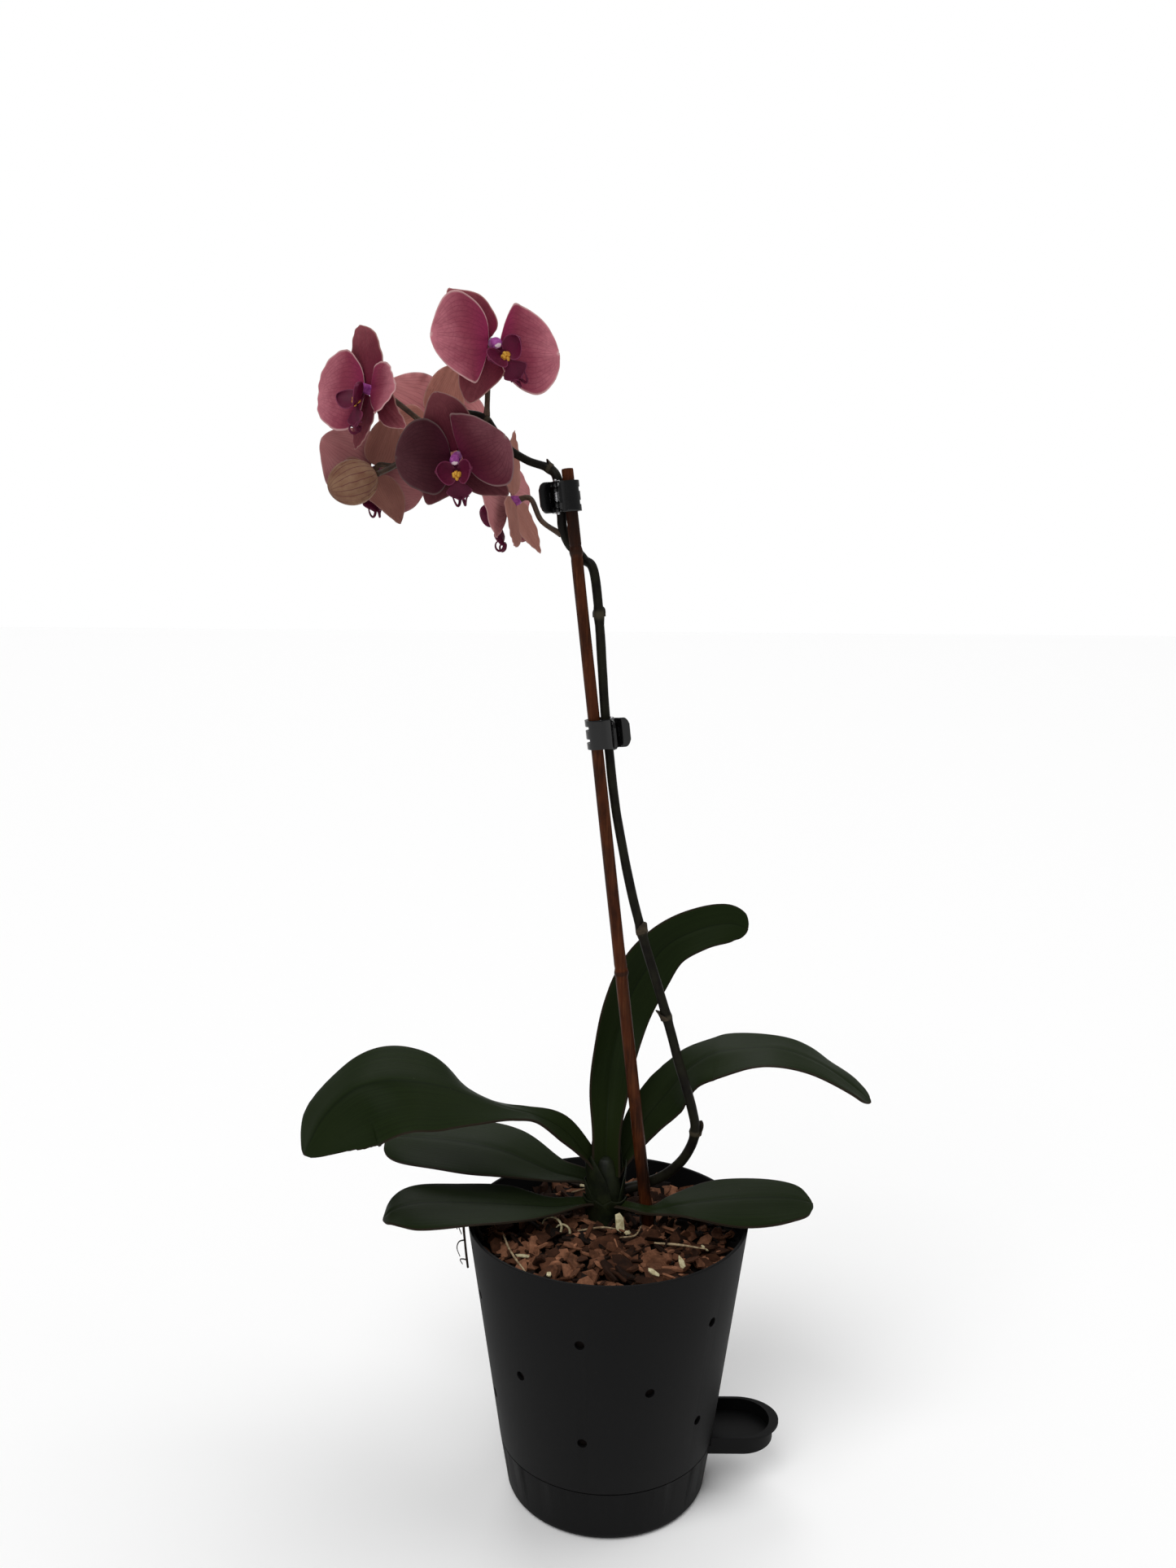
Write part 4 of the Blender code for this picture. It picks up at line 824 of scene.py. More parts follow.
def makeRoots():
    radius, rim, height = rootLooks["radius"], pot["rimRadius"], pot["height"]
    inner = innerRadius(height)
    outside, over = rim + radius + 2 * gap, height + radius + gap
    start = barkHeight(inner - 0.006, 0.0) + radius + gap + 2.4 * bark["lump"]
    rows = [(inner - 0.006, -7, start), (inner - 0.0035, -7, start + 0.006), (inner - 0.002, -7, over),
            (rim - pot["wall"] / 2, -7, over), (outside + 0.0003, -6, over - 0.0006),
            (outside + 0.0004, -6, height - 0.005), (outside - 0.0004, -8, height - 0.014),
            (outside - 0.0014, -10, height - 0.024)]
    path = smoothPath([polar(180 - turn, reach, level) for reach, turn, level in rows], 8)
    count = len(path)
    rows = [(*p, radius * (1 - 0.5 * i / count)) for i, p in enumerate(path)]
    shape = tube(Shape(), rows, 12, 1.0, 0.2, 0.35)
    for at, side, length in rootLooks["twigs"]:
        base = path[int(at * (count - 1))]
        out, across = polar(187, length), polar(187 + 90 * side, length)
        twig = [base, base + out * 0.5 + across * 0.25,
                base + out * 0.7 + across * 0.7 + Vector((0, 0, -length * 0.35)),
                base + out * 0.45 + across + Vector((0, 0, -length))]
        rows = [(*p, rootLooks["twigRadius"] * (1 - 0.18 * i / 6)) for i, p in enumerate(smoothPath(twig, 5))]
        tube(shape, rows, 8, 1.0, at, 0.3)
    shape.piece("rootOverRim", rootBrown, "root_brown", ["root_over_rim"])


makeStake()
makeRoots()
print("stake and roots made")


# leaves; rows of x, y, height, half width, tilt about the midrib, fold of each half

leafLooks = {"thickness": 0.0018, "groove": 0.00055, "keel": 0.0007, "wave": 0.0007}
leaves = {
    "leaf_upper_left": {"face": (0, 0, 1), "azimuth": 197, "start": (0.0345, 0.006, -45), "path": [
        (-0.024, 0.004, 0.055, 0.008, -50, 10), (-0.04, -0.005, 0.067, 0.009, -8, 0),
        (-0.053, -0.011, 0.073, 0.013, -1, -8), (-0.069, -0.017, 0.081, 0.02, -9, -13),
        (-0.084, -0.021, 0.088, 0.026, -21, -12), (-0.1, -0.024, 0.092, 0.03, -23, -9),
        (-0.116, -0.027, 0.093, 0.031, -31, -17), (-0.131, -0.03, 0.089, 0.031, -36, -28),
        (-0.145, -0.033, 0.076, 0.025, -34, -24), (-0.154, -0.036, 0.058, 0.011, -25, -10)]},
    "leaf_lower_left": {"face": (0, 0, 1), "azimuth": 160, "start": (0.019, 0.006, -10), "path": [
        (-0.03, 0.022, 0.023, 0.012, -10, 10), (-0.058, 0.033, 0.03, 0.024, -8, 0),
        (-0.082, 0.041, 0.032, 0.028, -6, -4), (-0.104, 0.049, 0.031, 0.026, -7, -5),
        (-0.119, 0.055, 0.029, 0.018, -8, -4), (-0.127, 0.058, 0.027, 0.008, -8, 0)]},
    "leaf_low_left": {"face": (0, 0, 1), "azimuth": 215, "start": (0.01, 0.005, 0), "path": [
        (-0.03, 0.002, 0.0125, 0.01, 0, 8), (-0.052, -0.003, 0.016, 0.021, 0, 2),
        (-0.078, -0.005, 0.018, 0.025, -1, -2), (-0.1, -0.007, 0.0185, 0.023, -3, -4),
        (-0.113, -0.009, 0.016, 0.015, -4, -4), (-0.119, -0.01, 0.011, 0.007, 0, 0)]},
    "leaf_upright": {"face": (0, -1, 0), "azimuth": 90, "start": (None, 0.008, 0), "path": [
        (0, 0.027, 0.066, 0.012, 0, 30), (0.0025, 0.033, 0.088, 0.0135, 8, 26),
        (0.0085, 0.04, 0.11, 0.0155, 14, 18), (0.0185, 0.046, 0.129, 0.016, 12, 12),
        (0.033, 0.052, 0.145, 0.013, 0, 8), (0.051, 0.056, 0.153, 0.012, -20, 8),
        (0.068, 0.058, 0.156, 0.011, -24, 6), (0.079, 0.059, 0.153, 0.006, -20, 0)]},
    "leaf_right": {"face": (0, 0, 1), "azimuth": 42, "start": (0.026, 0.006, 10), "path": [
        (0.02, 0.03, 0.049, 0.012, 22, 8), (0.033, 0.034, 0.0645, 0.017, 24, 2),
        (0.044, 0.033, 0.0785, 0.02, 22, 0), (0.056, 0.029, 0.0885, 0.022, 18, -6),
        (0.066, 0.025, 0.093, 0.024, 14, -8), (0.085, 0.015, 0.098, 0.026, 1, -6),
        (0.098, 0.008, 0.098, 0.026, -6, -4), (0.112, 0, 0.094, 0.023, -11, -3),
        (0.126, -0.007, 0.086, 0.015, -6, 0), (0.136, -0.011, 0.078, 0.007, 0, 0)]},
    "leaf_low_right": {"face": (0, 0, 1), "azimuth": -50, "start": (0.01, 0.004, 0), "path": [
        (0.022, -0.002, 0.013, 0.0055, 0, 5), (0.038, -0.001, 0.0155, 0.013, 2, 0),
        (0.062, 0.001, 0.018, 0.023, 4, -4), (0.086, 0.002, 0.019, 0.024, 5, -5),
        (0.102, 0.002, 0.018, 0.018, 4, -4), (0.11, 0.002, 0.0155, 0.008, 0, 0)]},
}


def leafRows(leaf):
    height, halfWidth, tilt = leaf["start"]
    if height is None:
        first = (crown["x"], crown["y"] + crown["radius"] * 0.3, crown["height"] + 2 * gap)
        heart = (crown["x"], crown["y"] - 0.001, crown["height"] - 0.02)
    else:
        side = polar(leaf["azimuth"], crown["radius"] + 2 * gap)
        first = (crown["x"] + side.x, crown["y"] + side.y, height)
        heart = (crown["x"] + side.x * 0.35, crown["y"] + side.y * 0.35, max(height - 0.012, -0.002))
    return [(*heart, halfWidth * 1.2, tilt, 40), (*first, halfWidth * 1.1, tilt, 30), *leaf["path"]]


def makeLeaf(name, leaf, number):
    rows = leafRows(leaf)
    path = smoothPath(rows, 16)
    face = Vector(leaf["face"])
    length = sum((b - a).xyz.length for a, b in zip(path, path[1:]))
    tipFrom = 1 - rows[-1][3] * 1.25 / length

    def surface(u, v):
        at = u * (len(path) - 1)
        index = min(int(at), len(path) - 2)
        row = path[index].lerp(path[index + 1], at - index)
        low, high = path[max(index - 2, 0)], path[min(index + 3, len(path) - 1)]
        ahead = Vector(high[:3]) - Vector(low[:3])
        sideways = ahead.cross(face).normalized()
        normal = sideways.cross(ahead).normalized()
        turn = Matrix.Rotation(radians(row[4]), 3, ahead)
        sideways, normal = turn @ sideways, turn @ normal
        bend = radians(row[5]) * (1 if row[5] < 0 else abs(v) ** 0.5)
        side = sideways * -v * cos(bend) + normal * abs(v) * sin(bend)
        close = sqrt(max(0.0012, 1 - (max(0.0, u - tipFrom) / (1 - tipFrom)) ** 2))
        ripple = leafLooks["wave"] * sin(u * 15 + v * 2.2 + number * 2.1) * abs(v) ** 3 * min(1, u * 3)
        return aboveBark(*row[:3]) + side * row[3] * close + normal * ripple

    def relief(u, v, side):
        width = 0.085 if u > 0.15 else 0.16
        dip = exp(-(v / width) ** 2) * min(1.0, (1 - u) * 12)
        return -leafLooks["groove"] * dip if side > 0 else -leafLooks["keel"] * dip

    slab(Shape(), surface, leafLooks["thickness"], 110, 28, 0.45, 1.15, relief, 1.0, number * 0.137).piece(
        name.replace("leaf_", "leaf").title().replace("_", ""), leafGreen, "leaf_green", [name], 70)


def makeCrown():
    # the stub, with the old leaf bases that wrap it
    low, high, radius = barkLevel - crown["depth"], barkLevel + crown["height"], crown["radius"]
    path = smoothPath([(0.25, 0.8), (0.52, 0.76), (0.8, 0.62), (0.98, 0.38), (0.96, 0.1)], 8)
    profile = [(radius * wide, low + (high - low) * up) for wide, up in path]
    profile = [(0.0, low + (high - low) * 0.81), *profile, (radius * 0.85, low), (0.0, low)]

    def ribs(angle, height):
        return 1 + 0.05 * sin(angle * 3 + height * 60) + 0.02 * noise.noise(
            Vector((cos(angle) * 3, sin(angle) * 3, height * 180)))

    shape = lathe(Shape(), profile, 72, Matrix.Translation((crown["x"], crown["y"], 0)), swell=ribs)
    for azimuth, foot, top, wide in crown["wraps"]:
        def wrap(u, v):
            angle = radians(azimuth) + v * radians(98) * (1 - 0.72 * u ** 2.2)
            away = radius * wide * (1 - 0.06 * u + 0.22 * u ** 4)
            height = foot + (top - foot) * (u + 0.1 * abs(v) ** 2 * u)
            return aboveBark(crown["x"] + away * cos(angle), crown["y"] + away * sin(angle), height)
        slab(shape, wrap, crown["wrapThickness"], 30, 30, 0.35, 1.0, None, 1.0, 0.3)
    shape.piece("crownStub", crownGreen, "crown_green", ["crown"], 50)


for number, (name, leaf) in enumerate(leaves.items()):
    makeLeaf(name, leaf, number)
makeCrown()
print("leaves and crown made")


# spike: a free stretch, then beside the stake, then the arch

stem = {"radius": 0.0022,
        "free": [(0.019, 0.0172, 0.019), (0.031, 0.014, 0.026), (0.0405, 0.008, 0.038),
                 (0.046, 0.004, 0.053), (0.0445, 0.003, 0.067), (0.0365, 0.003, 0.095),
                 (0.0285, 0.003, 0.124), (0.013, 0.005, 0.176)],
        "staked": [(0.225, 20, 0.0012), (0.258, 20, 0.0006), (0.28, 20, 0.0006), (0.345, 25, 0.0034),
                   (0.357, 66, 0.0022), (0.364, 112, 0.002), (0.372, 142, 0.0012), (0.379, 150, 0.0004),
                   (0.395, 150, 0.0004)],
        "arch": [(-0.033, 0.001, 0.401), (-0.044, 0.001, 0.405), (-0.055, 0, 0.412),
                 (-0.064, 0, 0.424), (-0.072, 0, 0.427), (-0.083, 0, 0.426),
                 (-0.095, 0, 0.421), (-0.102, 0.001, 0.409), (-0.107, 0.002, 0.402)],
        "nodes": [(0.0455, 0.004, 0.055), (0.03, 0.003, 0.119), (0.018, 0.005, 0.166),
                  (-0.0145, -0.001, 0.33), (-0.033, 0.001, 0.401), (-0.064, 0, 0.424),
                  (-0.095, 0, 0.421)]}
# the per-flower factor scales all of a flower's colours: painted shade, darkest for flower_front, which hangs
# low in the shade of the others; the per-organ factors darken or lighten single organs the same way, painted
# shade and painted light
flowers = {
    "flower_top": {"centre": (-0.0585, -0.024, 0.456), "facing": (-72, -8), "roll": 20,
                   "sweep": (4, 4), "lip": 16, "tone": 1.0,
                   "bend": {"dorsal_sepal": (20, -8), "petal_left": (-16, 0), "petal_right": (-33, 0)},
                   "form": {"petal_left": (-0.28, 1.01, 1.0), "petal_right": (-0.34, 1.08, 1.0)},
                   "pedicel": [(-0.064, 0, 0.426), (-0.0635, 0, 0.437)]},
    "flower_left": {"centre": (-0.1185, -0.022, 0.4345), "facing": (-138, 7), "roll": 9,
                    "sweep": (22, 11), "tone": 0.85, "bend": {"dorsal_sepal": (8, 16), "petal_right": (-20, 0)},
                    "form": {"petal_right": (0.0, 1.0, 0.62), "petal_left": (0.0, 1.1, 1.0),
                             "sepal_right": (0.0, 1.0, 0.7), "dorsal_sepal": (0.0, 1.08, 1.35)},
                    "pedicel": [(-0.095, 0, 0.422), (-0.103, -0.006, 0.428)]},
    "flower_front": {"centre": (-0.0755, -0.034, 0.402), "facing": (-95, -20), "roll": 6, "size": 0.95,
                     "sweep": (8, 8), "tone": 0.34, "dim": {"petal_left": 0.45, "dorsal_sepal": 1.5},
                     "bend": {"dorsal_sepal": (10, 4), "petal_right": (8, 0)},
                     "form": {"petal_left": (0.0, 1.04, 0.95), "petal_right": (-0.22, 0.9, 1.06),
                              "dorsal_sepal": (0.0, 1.05, 1.3)},
                     "pedicel": [(-0.079, 0, 0.427), (-0.078, -0.012, 0.418)]},
    "flower_back": {"centre": (-0.094, 0.028, 0.427), "facing": (100, 4), "roll": 24,
                    "sweep": (6, 6), "tone": 1.0, "bend": {"sepal_right": (12, 4)},
                    "pedicel": [(-0.087, 0, 0.425), (-0.091, 0.012, 0.427)]},
    "flower_low": {"centre": (-0.122, 0.011, 0.4), "facing": (118, -15), "roll": 24, "size": 0.95,
                   "sweep": (4, 4), "lip": -28, "tone": 0.6,
                   "pedicel": [(-0.107, 0.002, 0.402), (-0.112, 0.003, 0.402)]},
    "flower_right": {"centre": (-0.053, 0.0135, 0.386), "facing": (162, -6), "roll": 0, "size": 1.08,
                     "sweep": (5, 5), "tone": 0.9, "form": {"dorsal_sepal": (0.0, 1.0, 0.88)},
                     "pedicel": [(-0.027, 0.002, 0.369), (-0.037, 0.007, 0.376)]},
}
bud = {"centre": (-0.131, -0.021, 0.39), "radius": 0.011, "stretch": 1.12,
       "pedicel": [(-0.104, 0.001, 0.406), (-0.11, -0.009, 0.4), (-0.116, -0.015, 0.396)]}
column = {"radius": 0.0026, "cap": (0.0016, 0.0015, 0.0011),
          "rows": [(0, 0, -0.0046, 0.0019), (0, 0, -0.002, 0.0024), (0, 0.0001, 0.0012, 0.0023),
                   (0, 0, 0.004, 0.0025), (0, -0.0004, 0.0058, 0.0024)]}
organs = {  # angle round the flower, length, half width, depth, sweep, curl, cup, fullness, roundness
    "dorsal_sepal": (90, 0.029, 0.0105, -0.0013, -6, -0.05, -0.05, 0.62, 0.66),
    "sepal_left": (-132, 0.028, 0.01, -0.0013, -6, -0.05, -0.05, 0.62, 0.66),
    "sepal_right": (-48, 0.028, 0.01, -0.0024, -6, -0.05, -0.05, 0.62, 0.66),
    "petal_left": (172, 0.0275, 0.0197, 0.0005, 0, -0.04, 0.05, 0.76, 0.56),
    "petal_right": (8, 0.0275, 0.0197, 0.0005, 0, -0.04, 0.05, 0.76, 0.56),
}
lip = {"length": 0.021, "earWidth": 0.006, "curl": 0.0034, "curlRadius": 0.00078,
       "callus": [(-0.0011, 0, 0, 1.0), (0.0011, 0, 0, 1.0), (0, -0.0014, 0.0006, 0.8), (0, 0.001, 0.0009, 0.8)],
       "rows": [(0, 0.0015), (0.15, 0.0021), (0.32, 0.002), (0.45, 0.0021),
                (0.6, 0.005), (0.72, 0.0066), (0.84, 0.005), (0.94, 0.002), (1.0, 0.0008)]}
sheet = {"organ": 0.00055, "tongue": 0.0009, "ear": 0.0006}  # thicknesses


def stemRows():
    start = Vector((crown["x"] + crown["radius"] + 2 * gap, crown["y"] + 0.0015, barkLevel + 0.016))
    rows = [(start - Vector((0.005, 0, 0.004)), 1.32), (start, 1.3)]
    rows += [(aboveBark(*p), 1.27 - 0.02 * i) for i, p in enumerate(stem["free"])]
    for height, azimuth, extra in stem["staked"]:
        beside = stake["radius"] + stem["radius"] + 2 * gap + extra
        rows.append((stakePoint(height) + polar(azimuth, beside), 1.1))
    rows += [(aboveBark(*p), 0.95 - 0.03 * i) for i, p in enumerate(stem["arch"])]
    return [(*place, stem["radius"] * share) for place, share in rows]


def flowerFrame(flower):
    azimuth, elevation = (radians(angle) for angle in flower["facing"])
    facing = Vector((cos(elevation) * cos(azimuth), cos(elevation) * sin(azimuth), sin(elevation)))
    up = (Vector((0, 0, 1)) - facing * facing.z).normalized()
    rolled = Matrix.Rotation(radians(flower["roll"]), 3, facing) @ Matrix(
        (up.cross(facing), up, facing)).transposed()
    scaled = rolled.to_4x4() @ Matrix.Scale(flower.get("size", 1.0), 4)
    return Matrix.Translation(aboveBark(*flower["centre"])) @ scaled


def makeBract(shape, point, ahead, outward, radius, length):
    # a dry scale that hugs the stem above a node
    outward = (outward - ahead * outward.dot(ahead)).normalized()
    side = ahead.cross(outward)

    def surface(u, v):
        angle = v * (radians(105) * (1 - u ** 1.4) + 0.05)
        away = radius * (1.16 + 0.5 * u ** 2)
        return point + ahead * length * u + (outward * cos(angle) + side * sin(angle)) * away

    slab(shape, surface, 0.0005, 14, 14, 0.3, 1.0)


def makeSpike():
    path = smoothPath(stemRows(), 14)
    points = [Vector(row[:3]) for row in path]
    spots = [aboveBark(*node) for node in stem["nodes"]]
    nodeAt = [min(range(len(path)), key=lambda i: (points[i] - spot).length) for spot in spots]
    runs = [0.0]
    for a, b in zip(points, points[1:]):
        runs.append(runs[-1] + (b - a).length)
    rows, marks = [], []
    for i, row in enumerate(path):
        near = min(abs(runs[i] - runs[k]) for k in nodeAt)
        rows.append((*row[:3], row[3] * (1 + 0.22 * exp(-(near / 0.0021) ** 2))))
        marks.append(exp(-(near / 0.0017) ** 2))
    tube(Shape(), rows, 22, 1.0, 0.1, 0.06, marks).piece(
        "flowerSpike", stemGreen, "stem_green", ["flower_spike"])
    scales = Shape()
    for number, k in enumerate(nodeAt):
        ahead = (points[k + 2] - points[k - 2]).normalized()
        turn = Matrix.Rotation(2.3 * number, 3, ahead)
        makeBract(scales, points[k] - ahead * 0.001, ahead, turn @ ahead.orthogonal(), path[k][3] * 1.12,
                  0.0062 if number < 4 else 0.005)
    scales.piece("stemScales", bractDry, "stem_green")


def makeStalks():
    thin = stem["radius"] * 0.62
    for name, flower in flowers.items():
        frameHere = flowerFrame(flower)
        places = [aboveBark(*p) for p in flower["pedicel"]]
        places += [frameHere @ Vector((0, 0, -0.01)), frameHere @ Vector((0, 0, -0.0025))]
        path = smoothPath([(*p, thin) for p in places], 12)
        count = len(path) - 1
        rows = [(*p[:3], p[3] * (1 + 0.55 * exp(-((1 - i / count) / 0.1) ** 2)
                                 + 0.25 * exp(-((i / count) / 0.1) ** 2))) for i, p in enumerate(path)]
        tube(Shape(), rows, 16, 1.0, 0.4, 0.06).piece(pieceName(name) + "Stalk", stalkBrown, "stem_green")
    path = smoothPath([(*aboveBark(*p), thin) for p in bud["pedicel"]], 10)
    tube(Shape(), path, 16, 1.0, 0.4, 0.06).piece("budStalk", stalkBrown, "stem_green")


def pieceName(name):
    words = name.split("_")
    return words[0] + "".join(word.title() for word in words[1:])


# flowers

def organWidth(u, fullness, roundness):
    wide = sin(pi * min(1.0, u ** fullness)) ** roundness if u < 0.9999 else 0.0
    return max(wide, 0.17 if u < 0.3 else 0.02)


def organSurface(organ, extraAngle, sweep, form, frameHere, seed, isPetal):
    angle, length, halfWidth, depth, ownSweep, curl, cup, fullness, roundness = organ
    skew, longer, wider = form
    length, halfWidth = length * longer, halfWidth * wider
    turn = Matrix.Rotation(radians(angle + extraAngle), 3, "Z")
    lean = radians(sweep + ownSweep)
    waves = 0.0013 if isPetal else 0.0007

    def surface(u, v):
        reach = length * u
        side = halfWidth * organWidth(u, fullness, roundness) * v
        out = column["radius"] + gap + reach * cos(lean) + skew * side * sin(pi * min(0.5, u)) ** 1.5
        lift = depth + reach * sin(lean) + curl * reach * u + cup * side * side / halfWidth
        share = side / halfWidth
        lift += waves * abs(share) ** 3 * sin(u * 8 + seed * 5 + (2.0 if v < 0 else 0.0))
        lift += waves * u ** 4 * sin(share * 4.2 + seed * 3) + waves * 0.3 * abs(share) ** 4 * sin(u * 31 + seed)
        lift -= 0.00055 * exp(-(side / 0.0014) ** 2) * (1 - u)
        lift += 0.0009 * u * (1 - u) * sin(share * 6 + seed * 4) + 0.00022 * u * sin(share * 22 + seed * 9)
        side += 0.0009 * sin(u * 7 + seed * 11) * abs(v)
        out += 0.0011 * sin(share * 3.4 + seed * 7) * u ** 3
        return frameHere @ (turn @ Vector((out, side, lift)))

    return surface


def makeOrgans(name, flower, number):
    frameHere = flowerFrame(flower)
    sweeps = dict(zip(("petal_left", "petal_right"), flower["sweep"]))
    for k, (organ, values) in enumerate(organs.items()):
        isPetal = organ in sweeps
        extraAngle, extraSweep = flower.get("bend", {}).get(organ, (0, 0))
        form = flower.get("form", {}).get(organ, (0.0, 1.0, 1.0))
        seed = number * 1.7 + k * 0.6
        surface = organSurface(values, extraAngle, sweeps.get(organ, 0) + extraSweep, form, frameHere, seed,
                               isPetal)
        rows, columns = (44, 44) if isPetal else (40, 22)
        # painted shade: the flower's and the organ's factors darken or lighten this organ's colours
        tone = flower["tone"] * flower.get("dim", {}).get(organ, 1.0)
        slab(Shape(), surface, sheet["organ"], rows, columns, 0.4, 1.35, None, tone, (seed * 0.37) % 1).piece(
            pieceName(name + "_" + organ), petalPink if isPetal else sepalPink, "petal_pink",
            [name + "_" + organ], 80)


def makeLip(name, flower):
    frameHere = flowerFrame(flower) @ Matrix.Rotation(radians(flower.get("lip", 0)), 4, "Z")
    path = smoothPath(lip["rows"], 6)
    tone = 0.75 + 0.25 * flower["tone"]
    shape, callus = Shape(), Shape()

    def spine(share):
        reach = lip["length"] * share
        return Vector((0, -(column["radius"] + gap + reach * 0.78), 0.0025 + 0.55 * reach * (1 - 0.75 * share)))

    def tongue(u, v):
        at = u * (len(path) - 1)
        index = min(int(at), len(path) - 2)
        share, halfWidth = path[index].lerp(path[index + 1], at - index)
        lift = 0.0014 * (1 - v * v) * (1 - u) + 0.0016 * u * v * v
        return frameHere @ (spine(share) + Vector((halfWidth * v, -0.0006 * v * v, lift)))

    slab(shape, tongue, sheet["tongue"], 40, 16, 0.45, 1.1, None, tone, 0.2)
    for side in (-1, 1):
        root = spine(0.2) + Vector((side * 0.0016, 0.0004, 0.0006))
        tip = Vector((side * 0.0094, -0.0034, 0.0118))
        middle = (root + tip) / 2 + Vector((side * 0.0016, -0.0012, 0.0))
        across = Vector((0.12 * side, 1.0, -0.42)).normalized()

        def ear(u, v):
            centre = root * (1 - u) ** 2 + middle * 2 * u * (1 - u) + tip * u ** 2
            full = sin(pi * min(1.0, u ** 0.72)) ** 0.55 if u < 0.999 else 0.02
            wide = lip["earWidth"] * max(0.3 * (1 - u), full, 0.02)
            return frameHere @ (centre + across * wide * v + Vector((-side * 0.0012 * v * v, 0, 0.0009 * v * v)))

        slab(shape, ear, sheet["ear"], 24, 20, 0.45, 1.25, None, tone * 1.15, 0.6)
        rows, end = [], spine(1.0)
        for i in range(17):
            turn = i / 16
            size = lip["curl"] * (1 - 0.5 * turn)
            spin = turn * 4.9
            spot = Vector((end.x + side * (0.0007 + 0.0034 * turn), end.y - size * sin(spin) - 0.0008 * turn,
                           end.z - 0.0004 + size * (1 - cos(spin)) * 0.8))
            rows.append((*(frameHere @ spot), lip["curlRadius"] * (1 - 0.62 * i / 16)))
        tube(shape, smoothPath(rows, 3), 8, tone, 0.5)
    shape.piece(pieceName(name) + "Lip", lipPurple, "lip_purple", [name + "_lip"], 70)
    for x, y, z, size in lip["callus"]:
        matrix = frameHere @ Matrix.Translation(spine(0.26) + Vector((x, y, z + 0.0016))) @ Matrix.Diagonal(
            (0.0013 * size, 0.0016 * size, 0.0019 * size, 1))
        ball(callus, matrix, 12, 8, lambda angle, height: 1 + 0.12 * sin(angle * 3 + height * 4))
    callus.piece(pieceName(name) + "Callus", callusYellow, "lip_purple")


def makeColumn(name, flower):
    frameHere = flowerFrame(flower)
    path = [(*(frameHere @ Vector(row[:3])), row[3] * flower.get("size", 1.0)) for row in column["rows"]]
    tube(Shape(), smoothPath(path, 6), 20, 0.7 + 0.3 * flower["tone"], 0.3, 0.04).piece(
        pieceName(name) + "Column", columnMagenta, "stem_green")
    matrix = frameHere @ Matrix.Translation((0, -0.001, 0.0062)) @ Matrix.Diagonal((*column["cap"], 1))
    ball(Shape(), matrix, 16, 10, lambda angle, height: 1 + 0.08 * cos(angle * 2)).piece(
        pieceName(name) + "AntherCap", capPale, "stem_green")


def makeBud():
    centre, stalkEnd = aboveBark(*bud["centre"]), aboveBark(*bud["pedicel"][-1])
    axis = (stalkEnd - centre).normalized()
    length = bud["radius"] * bud["stretch"]
    centre = stalkEnd - axis * (length + 2 * gap)
    matrix = Matrix.Translation(centre) @ axis.to_track_quat("Z", "Y").to_matrix().to_4x4() @ Matrix.Diagonal(
        (bud["radius"], bud["radius"], length, 1))

    def seams(angle, height):
        spot = (angle * 3 / (2 * pi) + 0.1 * height) % 1
        step = 0.055 * exp(-spot / 0.1) - 0.05 * exp(-((spot - 0.97) / 0.05) ** 2)
        return 1 + step + 0.022 * sin(angle * 2 + 1) - 0.06 * max(0.0, -height) ** 2

    ball(Shape(), matrix, 96, 48, seams).piece("flowerBud", budOlive, "bud_olive", ["bud"])


makeSpike()
makeStalks()
for number, (name, flower) in enumerate(flowers.items()):
    makeOrgans(name, flower, number)
    makeLip(name, flower)
    makeColumn(name, flower)
makeBud()
print("spike, flowers and bud made")


# clips

clip = {"wall": 0.0013, "height": 0.015, "clearance": 0.00035, "pin": 0.0008, "pinClearance": 0.0002,
        "knuckle": 0.0016, "padLength": 0.0052, "padAngle": 35, "fingerGaps": (3, 4, 9, 10), "soften": 0.00028,
        "springTurns": 5, "springWire": 0.00022, "heights": {"upper_clip": 0.387, "lower_clip": 0.269},
        "mouths": {"upper_clip": 60, "lower_clip": 138}, "turned": {"upper_clip": 1, "lower_clip": -1}}


def clipPlace(name):
    # the clip's own axes, X into its mouth and Z along its pin, and the stem's extra distance there
    height = clip["heights"][name]
    nearest = min(stem["staked"], key=lambda row: abs(row[0] - height))
    apart = stake["radius"] + stem["radius"] + 2 * gap + nearest[2]
    middle = stakePoint(height) + polar(nearest[1], (apart + stem["radius"] - stake["radius"]) / 2)
    along = stakeUp * clip["turned"][name]
    mouth = polar(clip["mouths"][name], 1.0)
    mouth = (mouth - along * mouth.dot(along)).normalized()
    turn = Matrix((mouth, along.cross(mouth), along)).transposed().to_4x4()
    return Matrix.Translation(middle - mouth * mouthCentre(nearest[2])) @ turn, nearest[2]


def gripRadius(extra):
    return stake["radius"] * 1.03 + stem["radius"] + gap + extra / 2 + clip["clearance"]


def mouthCentre(extra):
    return clip["knuckle"] + 2 * gap + gripRadius(extra)


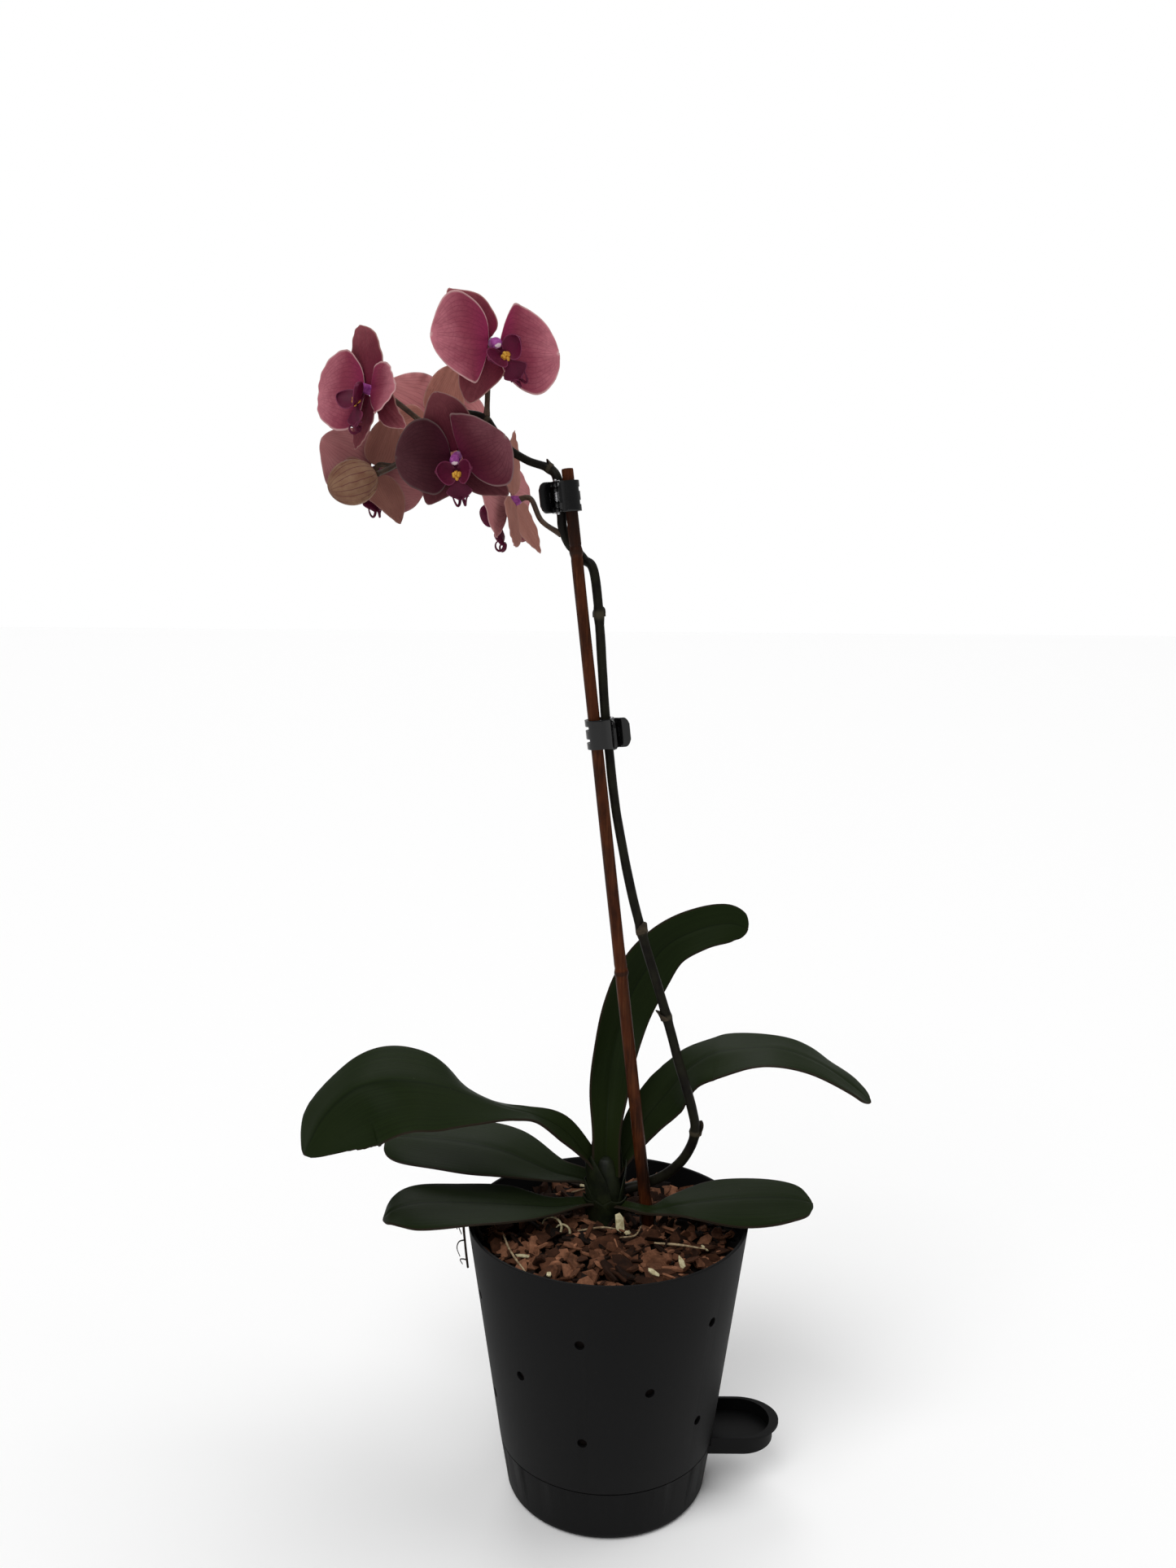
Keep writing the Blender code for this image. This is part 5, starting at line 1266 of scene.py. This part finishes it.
def makeJaw(name, side, extra, knuckles, matrix, body):
    wall, knuckle = clip["wall"], clip["knuckle"]
    middle, centre = gripRadius(extra) + wall / 2, mouthCentre(extra)
    bridge = knuckle + 2 * gap + wall / 2
    lean = radians(clip["padAngle"])
    pad = [bridge + clip["padLength"] * i / 6 for i in range(6, 0, -1)]
    strip = [(-r * cos(lean), -bridge - (r - bridge) * sin(lean)) for r in pad]
    strip += [(-bridge * 0.7, -bridge * 1.08), (-bridge * 0.2, -bridge * 1.1), (bridge * 0.3, -bridge * 1.08)]
    arc = [radians(204 + i * (354 - 204) / 24) for i in range(25)]
    strip += [(centre + middle * cos(a), middle * sin(a)) for a in arc
              if centre + middle * cos(a) > bridge * 0.5 and (middle * sin(a) < -bridge or a > radians(297))]
    levels = [clip["height"] * (-0.5 + i / 14) for i in range(15)]
    fingersFrom = len(strip) - 13
    bm = bmesh.new()
    grid = []
    for index, (x, y) in enumerate(strip):
        narrow = sqrt(max(0.18, 1 - ((3.4 - index) / 4.0) ** 2)) if index < 4 else 1.0
        grid.append([bm.verts.new((x, -y * side, z * narrow)) for z in levels])
    for i in range(len(strip) - 1):
        for j in range(len(levels) - 1):
            if i < fingersFrom or j not in clip["fingerGaps"]:
                bm.faces.new((grid[i][j], grid[i + 1][j], grid[i + 1][j + 1], grid[i][j + 1]))
    jaw = fromBmesh(pieceName(name), bm)
    solid = jaw.modifiers.new("thickness", "SOLIDIFY")
    solid.thickness = wall
    solid.offset = 0.0
    flatten(jaw)
    for low, high in knuckles:
        carve(jaw, rod(Vector((0, 0, low)), Vector((0, 0, high)), knuckle, 24), "UNION")
        carve(jaw, box((-knuckle * 0.6, min(0, side * bridge), low),
                       (knuckle * 0.6, max(0, side * bridge), high)), "UNION")
    reach = Vector((0, 0, clip["height"]))
    carve(jaw, rod(-reach, reach, clip["pin"] + clip["pinClearance"], 20))
    softEdges(jaw, clip["soften"], 50, 2)
    jaw.data.transform(matrix)
    settle(jaw, clipPlastic, [name], body)


def makeClip(name):
    matrix, extra = clipPlace(name)
    outer, inner, springEnd = (clip["height"] * share for share in (0.5, 0.34, 0.16))
    end, slack = outer + 0.0006, 0.0002
    makeJaw(name + "_front_jaw", -1, extra, [(-inner + slack, -springEnd), (springEnd, inner - slack)], matrix,
            name + "_jaw")
    makeJaw(name + "_rear_jaw", 1, extra, [(-outer, -inner), (inner, outer)], matrix, plant)
    rows = [(*(matrix @ Vector((0, 0, z))), clip["pin"]) for z in (-end, -end / 2, 0, end / 2, end)]
    tube(Shape(), rows, 20).piece(pieceName(name) + "Pin", steel, "spring_steel", [name + "_pin"], 40)
    wire, perTurn = clip["springWire"], 20
    count = clip["springTurns"] * perTurn
    rows = []
    for number in range(count + 1):
        rise = (springEnd - 0.0005) * (2 * number / count - 1)
        rows.append((*(matrix @ polar(360 * number / perTurn, clip["pin"] + wire + 0.00025, rise)), wire))
    tube(Shape(), rows, 8).piece(pieceName(name) + "Spring", steel, "spring_steel", [name + "_spring"])


for name in clip["heights"]:
    makeClip(name)
print("clips made")


# camera, light and floor

view = {"place": (-0.0125, -0.646, 0.468), "down": 7.5, "roll": 0.44, "lens": 1560 / 1927 * 36}
studio = {"seen": 1.0, "glow": 0.3, "floor": (0.97, 0.97, 0.97), "floorSize": 40,
          "suns": [((-118, 52), 1.55, 40), ((20, 60), 0.9, 50), ((100, 35), 0.5, 30)]}  # direction, power, width


def makeCamera():
    camera = newObject("camera", bpy.data.cameras.new("camera"))
    camera.data.lens = view["lens"]
    camera.data.sensor_width = 36
    camera.data.clip_start = 0.01
    down = Matrix.Rotation(pi / 2 - radians(view["down"]), 4, "X")
    roll = Matrix.Rotation(radians(view["roll"]), 4, "Z")
    camera.matrix_world = Matrix.Translation(view["place"]) @ down @ roll
    bpy.context.scene.camera = camera


def makeStudio():
    far = studio["floorSize"]
    floor = rawMesh("floor", [(-far, -far, 0), (far, -far, 0), (far, far, 0), (-far, far, 0)], [(0, 1, 2, 3)])
    floor.data.materials.append(Finish("floor", {"Base Color": studio["floor"], "Roughness": 0.85,
                                                 "Specular IOR Level": 0.1}).material)
    floor.location.z = -0.0002
    world = bpy.data.worlds.new("studio")
    world.use_nodes = True
    nodes, links = world.node_tree.nodes, world.node_tree.links
    rays = nodes.new("ShaderNodeLightPath")
    level = nodes.new("ShaderNodeMapRange")
    level.inputs["To Min"].default_value = studio["glow"]
    level.inputs["To Max"].default_value = studio["seen"]
    links.new(rays.outputs["Is Camera Ray"], level.inputs["Value"])
    links.new(level.outputs["Result"], nodes["Background"].inputs["Strength"])
    nodes["Background"].inputs["Color"].default_value = (1.0, 1.0, 1.0, 1.0)
    bpy.context.scene.world = world
    for number, ((azimuth, rise), power, width) in enumerate(studio["suns"]):
        sun = newObject(f"sun{number}", bpy.data.lights.new(f"sun{number}", "SUN"))
        sun.data.energy = power
        sun.data.angle = radians(width)
        shine = -polar(azimuth, cos(radians(rise)), sin(radians(rise)))
        sun.rotation_euler = shine.to_track_quat("-Z", "Y").to_euler()
    bpy.context.scene.view_settings.view_transform = "Standard"


makeCamera()
makeStudio()
print("studio made")
